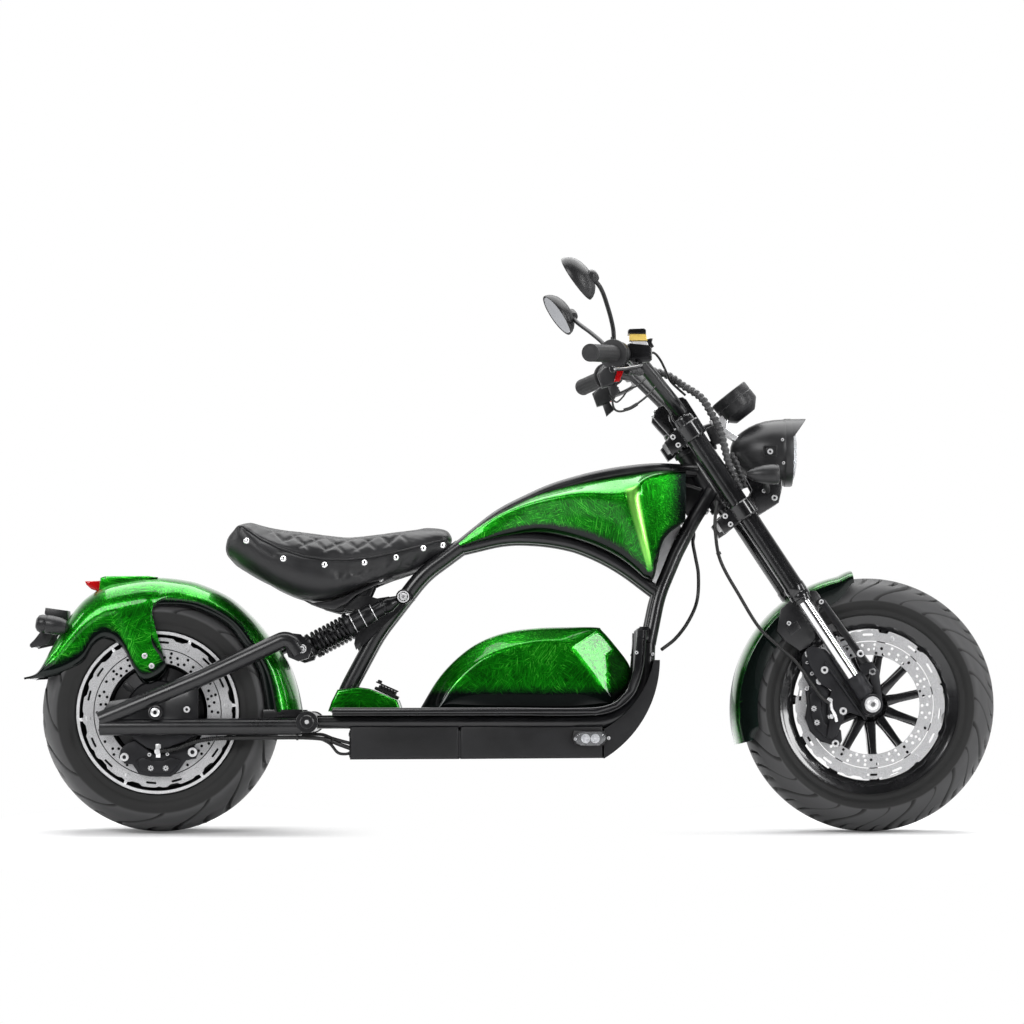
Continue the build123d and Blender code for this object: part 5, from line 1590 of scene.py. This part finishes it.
release("swingarm_plates", shape, "frame", "frame_black")

# %% Rear caliper
shape = bmesh.new()
body = [(-72, 166), (-76, 150), (-64, 138), (-48, 136), (-36, 118), (-14, 112), (28, 112), (44, 124),
        (58, 144), (78, 148), (84, 162), (74, 174), (52, 178), (30, 168), (12, 158), (-6, 158), (-26, 172),
        (-44, 186), (-60, 180)]
stamp(shape, slab(body, 97, 110, edge=3.5, segments=3), RIGHT)
stamp(shape, slab([(-30, 124), (-12, 118), (26, 118), (38, 128), (48, 146), (30, 152), (12, 144), (-8, 144),
                   (-26, 152), (-40, 144)], 108, 114, edge=2.5, segments=3), RIGHT)
stamp(shape, slab([(-44, 186), (-20, 170), (-4, 164), (14, 164), (34, 174), (58, 182), (84, 198), (60, 214),
                   (-40, 214), (-56, 200)], 100, 112, edge=2.5), RIGHT)
stamp(shape, slab([(-34, 178), (-24, 172), (-6, 162), (16, 162), (28, 170), (44, 178), (40, 190),
                   (-30, 190)], 74, 100, edge=2), RIGHT)
release("caliper_rear", shape, "frame", "dark_alloy", "rear_caliper")
for x, z, radius, out in ((-64, 151, 8.5, 110), (72, 161, 9.5, 110), (-14, 156, 4, 110), (22, 157, 3.5, 110)):
    stamp(bright, screw(radius, 6), on_side(x, z, out))
for x in (-11, 19):
    stamp(bright, toothed_pin(), on_side(x, 129, 114))
stamp(bright, banjo(), on_side(3, 163, 110))
stamp(bright, slab([(-1, 150), (-2, 176), (4, 178), (9, 176), (8, 150)], 109, 114, edge=1), RIGHT)

# %% [markdown]
# ## Tail lamp, plate holder and rear indicators
#
# The tail lamp is a wedge on the fender's crown, in the body's paint, with a red lens under its
# overhang. Below it a holder for a number plate and the two indicators stand out on a cross rail.

# %% Tail lamp
shape = bmesh.new()
wedge = slab([(-124, 486), (-121, 512), (-112, 515), (-24, 515.5), (-6, 513), (-40, 505), (-80, 496)], -50,
             50, edge=3, segments=3)
stamp(shape, wedge, RIGHT)
release("tail_housing", shape, "frame", "green_paint", "tail_lamp")
shape = bmesh.new()
stamp(shape, slab([(-122, 483), (-140, 489), (-150, 498), (-153, 505), (-122, 506)], -44, 44, edge=3,
                  segments=3), RIGHT)
release("tail_lens", shape, "frame", "red_lens")

# %% Plate holder, rail and rear indicators
shape = bmesh.new()
blade = slab([(-206, 424), (-214, 400), (-222, 378), (-258, 370), (-262, 374), (-242, 400), (-232, 430),
              (-214, 436)], -60, -54, edge=1.5)
pair(shape, blade)
stamp(shape, slab([(-256, 372), (-262, 377), (-238, 402), (-230, 400)], -58, 58, edge=1.5), RIGHT)
stamp(shape, bar([(-222, -76, 418), (-222, 0, 419), (-222, 76, 418)], 7, sides=20, steps=8))
stamp(shape, slab([(-232, 424), (-212, 436), (-198, 430), (-206, 408), (-222, 404)], -18, 18, edge=2), RIGHT)
stamp(shape, slab([(-234, 452), (-190, 446), (-188, 426), (-222, 424), (-236, 440)], -30, 30, edge=2.5),
      RIGHT)
release("plate_bracket", shape, "frame", "black_plastic", "plate_holder")

shape = bmesh.new()
bullet = turned([(0, 0), (6, 1), (13, 6), (17, 16), (18.6, 30), (19, 44), (18, 46), (18.8, 47.5),
                 (18.4, 56), (16, 62), (10, 66), (0, 67)], steps=64)
lamp_seat = facing((-179, -92, 410), (-68, 0, 10))
pair(shape, bullet, lamp_seat)
stalk = bar([(-222, -74, 418), (-220, -84, 417), (-218, -92, 416)], 5.4, sides=16, steps=8)
pair(shape, stalk, Matrix())
marker = slab([(836, 176), (892, 174), (902, 188), (894, 204), (834, 204), (830, 190)], 108, 114, edge=2)
pair(shape, marker)
marker_body = slab([(837, 180), (848, 174), (884, 174), (896, 184), (898, 192), (888, 202), (846, 202),
                    (836, 194)], 112, 124, edge=4, segments=3)
release("lamp_bodies", shape, "frame", "black_plastic", "marker_lamps")
shape = bmesh.new()
pair(shape, marker_body)
release("marker_lenses", shape, "frame", "clear_lens")
reflector = turned([(0, 1), (3, 1), (3.4, 4), (6, 5), (8, 8), (9, 8), (9, 0), (0, 0)], steps=32)
for x in (857, 876):
    pair(bright, reflector.copy(), on_side(x, 188, 114.5))
reflector.free()
bolts(bright, 4, (837, 187, 113, 3.6), (903, 189, 113, 3.6), (-25, 353, 106, 5.6), (-11, 333, 106, 5.6))

# %% [markdown]
# ## The deck, the battery box and the shroud
#
# The foot deck is one bent sheet with a rolled edge: two fine lines run along its side. A bead is
# laid along each of them. The battery box under it is two housings with a seam, and its ends are
# closed by a bolted plate.

# %% Deck edge
shape = bmesh.new()
upper = [(352, 247), (500, 247), (700, 247), (872, 247.5), (915, 258), (941, 284), (955, 326), (960, 380),
         (961, 404)]
lower = [(352, 236), (500, 236), (700, 236.5), (880, 237.5), (922, 250), (953, 280), (970, 330), (975, 380),
         (976, 404)]
BEAD_RADIUS = 2.6
for row in (upper, lower):
    for side in (-1, 1):
        stamp(shape, bar([(x, side * 137, z) for x, z in row], BEAD_RADIUS, sides=10, steps=90))
rim = slab([(352, 238), (352, 246), (872, 246), (914, 257), (939, 283), (953, 326), (960, 404), (973, 404),
            (968, 330), (951, 282), (920, 252), (880, 239)], 134, 139.5, edge=1)
pair(shape, rim)
for i in range(7):
    stamp(shape, slab([(506, 246.5), (508, 249), (860, 249), (862, 246.5)], -3, 3, edge=1),
          on_side(0, 0, -120 + 6 * i), on_side(0, 0, 120 - 6 * i))
front_plate = slab([(962, 400), (966, 412), (984, 412), (984, 386), (972, 384), (966, 388)], 60, 96, edge=2)
pair(shape, front_plate)
release("deck_rim", shape, "frame", "deck_plastic", finish="black_alloy")
bolts(bright, 3, (958, 359, 139, 3.6), (992, 357, 92, 3.6))

# %% Battery box
shape = bmesh.new()
housing = slab([(386, 146), (386, 213), (604, 213), (604, 147)], -107.4, 107.4, edge=5, segments=3)
second = slab([(606.5, 147), (606.5, 213), (892, 213), (892, 149)], -107.4, 107.4, edge=5, segments=3)
for part in (housing, second):
    stamp(shape, part, RIGHT)
stamp(shape, slab([(600, 150), (600, 204), (611, 204), (611, 150)], -105, 105, edge=1), RIGHT)
end_plate = slab([(384.4, 150), (384.4, 204), (389, 204), (389, 150)], -100, 100, edge=1)
stamp(shape, end_plate, RIGHT)
for z in (158, 196):
    for side in (-70, 0, 70):
        stamp(shape, screw(4, 3), facing((385, side, z), (-1, 0, 0)))
release("battery_housings", shape, "frame", "battery_case", "battery_box")

# %% [markdown]
# ## Seat pan, gussets and looms on the frame
#
# The seat stands on a thin pan with an upright at its middle, and daylight shows on both sides of
# the upright. Black gusset plates fill the corner between the tank, the down tubes and the head.

# %% Seat pan
shape = bmesh.new()
pan = slab([(286, 468), (310, 461), (345, 464), (372, 474), (392, 484), (440, 508), (470, 518), (470, 510),
            (440, 498), (428, 492), (396, 476), (376, 458), (352, 448), (322, 452), (300, 460)], 54, 66,
           edge=2)
pair(shape, pan)
upright = slab([(402, 492), (430, 504), (432, 492), (424, 474), (438, 470), (462, 474), (470, 462),
                (440, 430), (416, 430), (392, 448), (370, 444), (376, 462), (398, 474)], 50, 56, edge=2)
pair(shape, upright)
for x, z in ((360, 462), (410, 484)):
    stamp(shape, bar([(x, -60, z), (x, 0, z), (x, 60, z)], 8, sides=16, steps=6))
lower_pan = slab([(306, 462), (330, 448), (360, 440), (388, 444), (404, 462), (372, 470), (345, 462)], 20,
                 50, edge=4)
pair(shape, lower_pan)
bracket = slab([(382, 440), (402, 446), (440, 444), (462, 456), (440, 400), (412, 380), (396, 366),
                (392, 378), (396, 400)], 57, 63, edge=2)
pair(shape, bracket)
release("seat_pan", shape, "frame", "frame_black", "seat_bracket")
stamp(bright, screw(5, 5), on_side(446, 508, 66))

# %% Gussets, ribbed hose and wires
shape = bmesh.new()
gusset = slab([(1040, 716), (1072, 722), (1096, 690), (1112, 668), (1104, 642), (1086, 642), (1066, 640),
               (1046, 668)], 3, 9, edge=1.5)
pair(shape, gusset)
head_ring = turned([(21, 0), (23.6, 0), (24.4, 1), (24.4, 9), (23.6, 10), (21, 10)], steps=64)
stamp(shape, head_ring, on_stem(493), on_stem(625))
release("head_gussets", shape, "frame", "frame_black")
bolts(bright, 5, (1106, 648, 22, 4.5))

def ribbed(points, radius, pitch, steps):
    """A convoluted hose: rings one after another."""
    long = path_length(points)
    return bar(points, lambda u, v: radius - 0.7 + 1.0 * ease(cos(2 * pi * u * long / pitch), -0.4, 0.6),
               sides=14, steps=steps)


shape = bmesh.new()
stamp(shape, ribbed([(8, -115, 163), (20, -117, 164), (44, -119, 169), (66, -121, 178), (88, -123, 184),
                     (118, -124, 188), (160, -124, 190)], 4.6, 4.0, 240))
stamp(shape, bar([(150, -124, 189), (227, -125, 190), (300, -124, 190), (340, -114, 186), (366, -104, 176),
                  (388, -98, 168)], 4.4, sides=12, steps=60))
stamp(shape, bar([(290, -112, 196), (330, -112, 196), (352, -108, 188), (388, -98, 178)], 3.4, sides=10,
                 steps=30))
stamp(shape, bar([(322, -108, 190), (346, -112, 178), (362, -108, 160), (376, -100, 157), (390, -94, 160)],
                 3, sides=10, steps=30))
stamp(shape, bar([
    (1076, -12, 616), (1079, -12, 600), (1077, -12, 585), (1082, -12, 556), (1088, -12, 520),
    (1085, -16, 467), (1066, -44, 424), (1038, -74, 388), (1010, -93, 366)], 3.6, sides=12, steps=90))
for x, y, z in ((282, -126, 192), (352, -110, 184)):
    stamp(shape, turned([(5, -2), (7.4, -2), (7.4, 2), (5, 2)], steps=16), facing((x, y, z), (1, 0, 0)))
release("frame_looms", shape, "frame", "hose_rubber", "frame_hoses")
release("frame_bolts", bright, "frame", "bright_steel", sharp=40)

# %% [markdown]
# ## The side stand
#
# The stand's leg ends in a flat foot, with a small tail to catch it with the heel. Its construction
# shape is right, so it only gets a bright pivot bolt.

# %% Stand bolt
shape = bmesh.new()
stand_pin = turned([(0, 13), (4, 13), (4.6, 15.4), (9.4, 15.4), (10.4, 14), (10.4, 12.4), (0, 12.4)],
                   steps=32)
stamp(shape, stand_pin, facing((12, 152, 186), (0.126, 0.890, 0.437)))
release("stand_bolt", shape, "frame", "bright_steel")

# %% [markdown]
# ## The studio
#
# A product room: a white sweep behind and below, a broad softbox overhead, a smaller one high
# beside the camera, a strip off the nose, and weak upright strips at either end that draw a line
# along every tube. Only the floor round the two contact patches is lit like any surface, so it
# keeps the soft shadow under each tyre, and it fades to plain white further out. The world is white
# to the camera. In a mirror it is white on the far side, where the sweep is, and nearly dark on the
# camera's side, so that black paint stays black between its highlights.

# %% Floor
ROOM_WHITE = (1.0, 1.0, 1.0, 1)
SHADOW_SHIFT = -0.15     # metres towards the camera
SHADOW_STRETCH = 0.55    # across the machine, so the lit patch is longer than it is wide
SHADOW_NEAR, SHADOW_FAR = 0.16, 0.46
FLOOR_LIFT = 0.12
ground = bmesh.new()
bmesh.ops.create_circle(ground, cap_ends=True, segments=64, radius=30.0)
floor_mesh = bpy.data.meshes.new("floor")
ground.to_mesh(floor_mesh)
ground.free()
floor = bpy.data.objects.new("floor", floor_mesh)
bpy.context.collection.objects.link(floor)
floor.location.z = -0.0005

paper, paper_shader, here = start_finish("studio_floor")
middle_of_tyres = rear_axle.x + WHEELBASE * MM / 2
centred = put(paper, "VectorMath", {"operation": "SUBTRACT"}, _0=here,
              _1=(middle_of_tyres, SHADOW_SHIFT, 0))
folded = put(paper, "VectorMath", {"operation": "ABSOLUTE"}, _0=centred.outputs["Vector"])
patch = put(paper, "VectorMath", {"operation": "SUBTRACT"}, _0=folded.outputs["Vector"],
            _1=(WHEELBASE * MM / 2, 0, 0))
flat = put(paper, "VectorMath", {"operation": "MULTIPLY"}, _0=patch.outputs["Vector"],
           _1=(1.0, SHADOW_STRETCH, 1.0))
reach = put(paper, "VectorMath", {"operation": "LENGTH"}, _0=flat.outputs["Vector"]).outputs["Value"]
far = put(paper, "MapRange", {"interpolation_type": "SMOOTHSTEP"}, _0=reach, From_Min=SHADOW_NEAR,
          From_Max=SHADOW_FAR).outputs[0]
seen = put(paper, "LightPath")
watched = put(paper, "Math", {"operation": "MAXIMUM"}, _0=seen.outputs["Is Camera Ray"],
              _1=seen.outputs["Is Transmission Ray"])
hidden = put(paper, "Math", {"operation": "MULTIPLY"}, _0=far, _1=watched.outputs["Value"])
glow = put(paper, "Emission", Color=ROOM_WHITE, Strength=1.0)
shade(paper_shader, Base_Color=(0.80, 0.80, 0.80, 1), Roughness=0.9, Specular_IOR_Level=0.0)
brightening = put(paper, "Math", {"operation": "MULTIPLY"}, _0=watched.outputs["Value"], _1=FLOOR_LIFT)
lift = put(paper, "Emission", Color=ROOM_WHITE, Strength=brightening.outputs["Value"])
lifted = put(paper, "AddShader", _0=paper_shader.outputs[0], _1=lift.outputs[0])
blend = put(paper, "MixShader", _0=hidden.outputs["Value"], _1=lifted.outputs[0], _2=glow.outputs[0])
plug(paper, blend.outputs[0], paper.node_tree.nodes["Material Output"].inputs["Surface"])
floor_mesh.materials.append(paper)
print("floor", floor.dimensions.x, "m across")

# %% World
room = bpy.context.scene.world or bpy.data.worlds.new("room")
bpy.context.scene.world = room
room.use_nodes = True
for old in list(room.node_tree.nodes):
    room.node_tree.nodes.remove(old)
sight = put(room, "LightPath")
aim = put(room, "SeparateXYZ", _0=put(room, "TexCoord").outputs["Generated"])
sweep = ramp(room, span(room, aim.outputs["Y"], -1.0, 1.0, 0.0, 1.0), (0.0, (0.03, 0.03, 0.03)),
             (0.50, (0.06, 0.06, 0.06)), (0.66, (0.55, 0.55, 0.55)), (0.80, (1, 1, 1)))
ceiling = ramp(room, aim.outputs["Z"], (0.35, (1, 1, 1)), (0.75, (0.18, 0.18, 0.18)))
mirrored = put(room, "Mix", {"data_type": "RGBA", "blend_type": "MULTIPLY"}, _0=1.0, _6=sweep, _7=ceiling)
soft = put(room, "Background", Color=(0.30, 0.30, 0.31, 1), Strength=1.0)
mirror_view = put(room, "Background", Color=mirrored.outputs[2], Strength=1.0)
white = put(room, "Background", Color=ROOM_WHITE, Strength=1.0)
straight = put(room, "Math", {"operation": "MAXIMUM"}, _0=sight.outputs["Is Camera Ray"],
               _1=sight.outputs["Is Transmission Ray"])
first = put(room, "MixShader", _0=sight.outputs["Is Glossy Ray"], _1=soft.outputs[0],
            _2=mirror_view.outputs[0])
second = put(room, "MixShader", _0=straight.outputs["Value"], _1=first.outputs[0], _2=white.outputs[0])
out = put(room, "OutputWorld", Surface=second.outputs[0])
print("world has", len(room.node_tree.nodes), "nodes")


# %% Softboxes
def softbox(name, centre, target, width, depth, power):
    light = bpy.data.lights.new(name, "AREA")
    light.shape = "RECTANGLE"
    light.size = width
    light.size_y = depth
    light.energy = power
    lamp = bpy.data.objects.new(name, light)
    bpy.context.collection.objects.link(lamp)
    lamp.location = centre
    lamp.rotation_euler = (Vector(target) - Vector(centre)).to_track_quat("-Z", "Y").to_euler()
    print(name, power, "W")


softbox("overhead", (0.0, 0.5, 2.5), (0.0, 0.0, 0.5), 3.6, 2.4, 125)
softbox("beside_camera", (-2.2, -3.6, 2.6), (0.0, 0.0, 0.5), 2.0, 1.6, 100)
softbox("nose_strip", (2.5, -2.6, 1.6), (0.3, 0.0, 0.6), 0.5, 2.2, 60)
softbox("rear_strip", (-3.0, -0.3, 1.3), (-0.2, 0.0, 0.5), 0.4, 2.2, 24)
softbox("front_strip", (3.0, -0.2, 1.3), (0.3, 0.0, 0.5), 0.4, 2.2, 24)

# %% [markdown]
# ## The camera
#
# It looks straight at the right-hand side from several metres away, a little above the hubs, with
# a long lens, so that the circles of the wheels stay round.

# %% Camera
CAMERA_DISTANCE = 7.677
CAMERA_HEIGHT = 0.6254
CAMERA_ACROSS = 0.001
CAMERA_TILT = radians(90.16)
LENS = 133.3
SENSOR = 36.0
lens_view = bpy.data.cameras.new("camera")
lens_view.sensor_width = SENSOR
lens_view.lens = LENS
camera = bpy.data.objects.new("camera", lens_view)
bpy.context.collection.objects.link(camera)
contact = rear_axle - upward * REAR_RADIUS * MM
camera.location = (CAMERA_ACROSS, contact.y - CAMERA_DISTANCE, CAMERA_HEIGHT)
camera.rotation_euler = (CAMERA_TILT, 0, 0)
bpy.context.scene.camera = camera
bpy.context.scene.view_settings.view_transform = "Standard"
print("camera at", [round(value, 3) for value in camera.location])
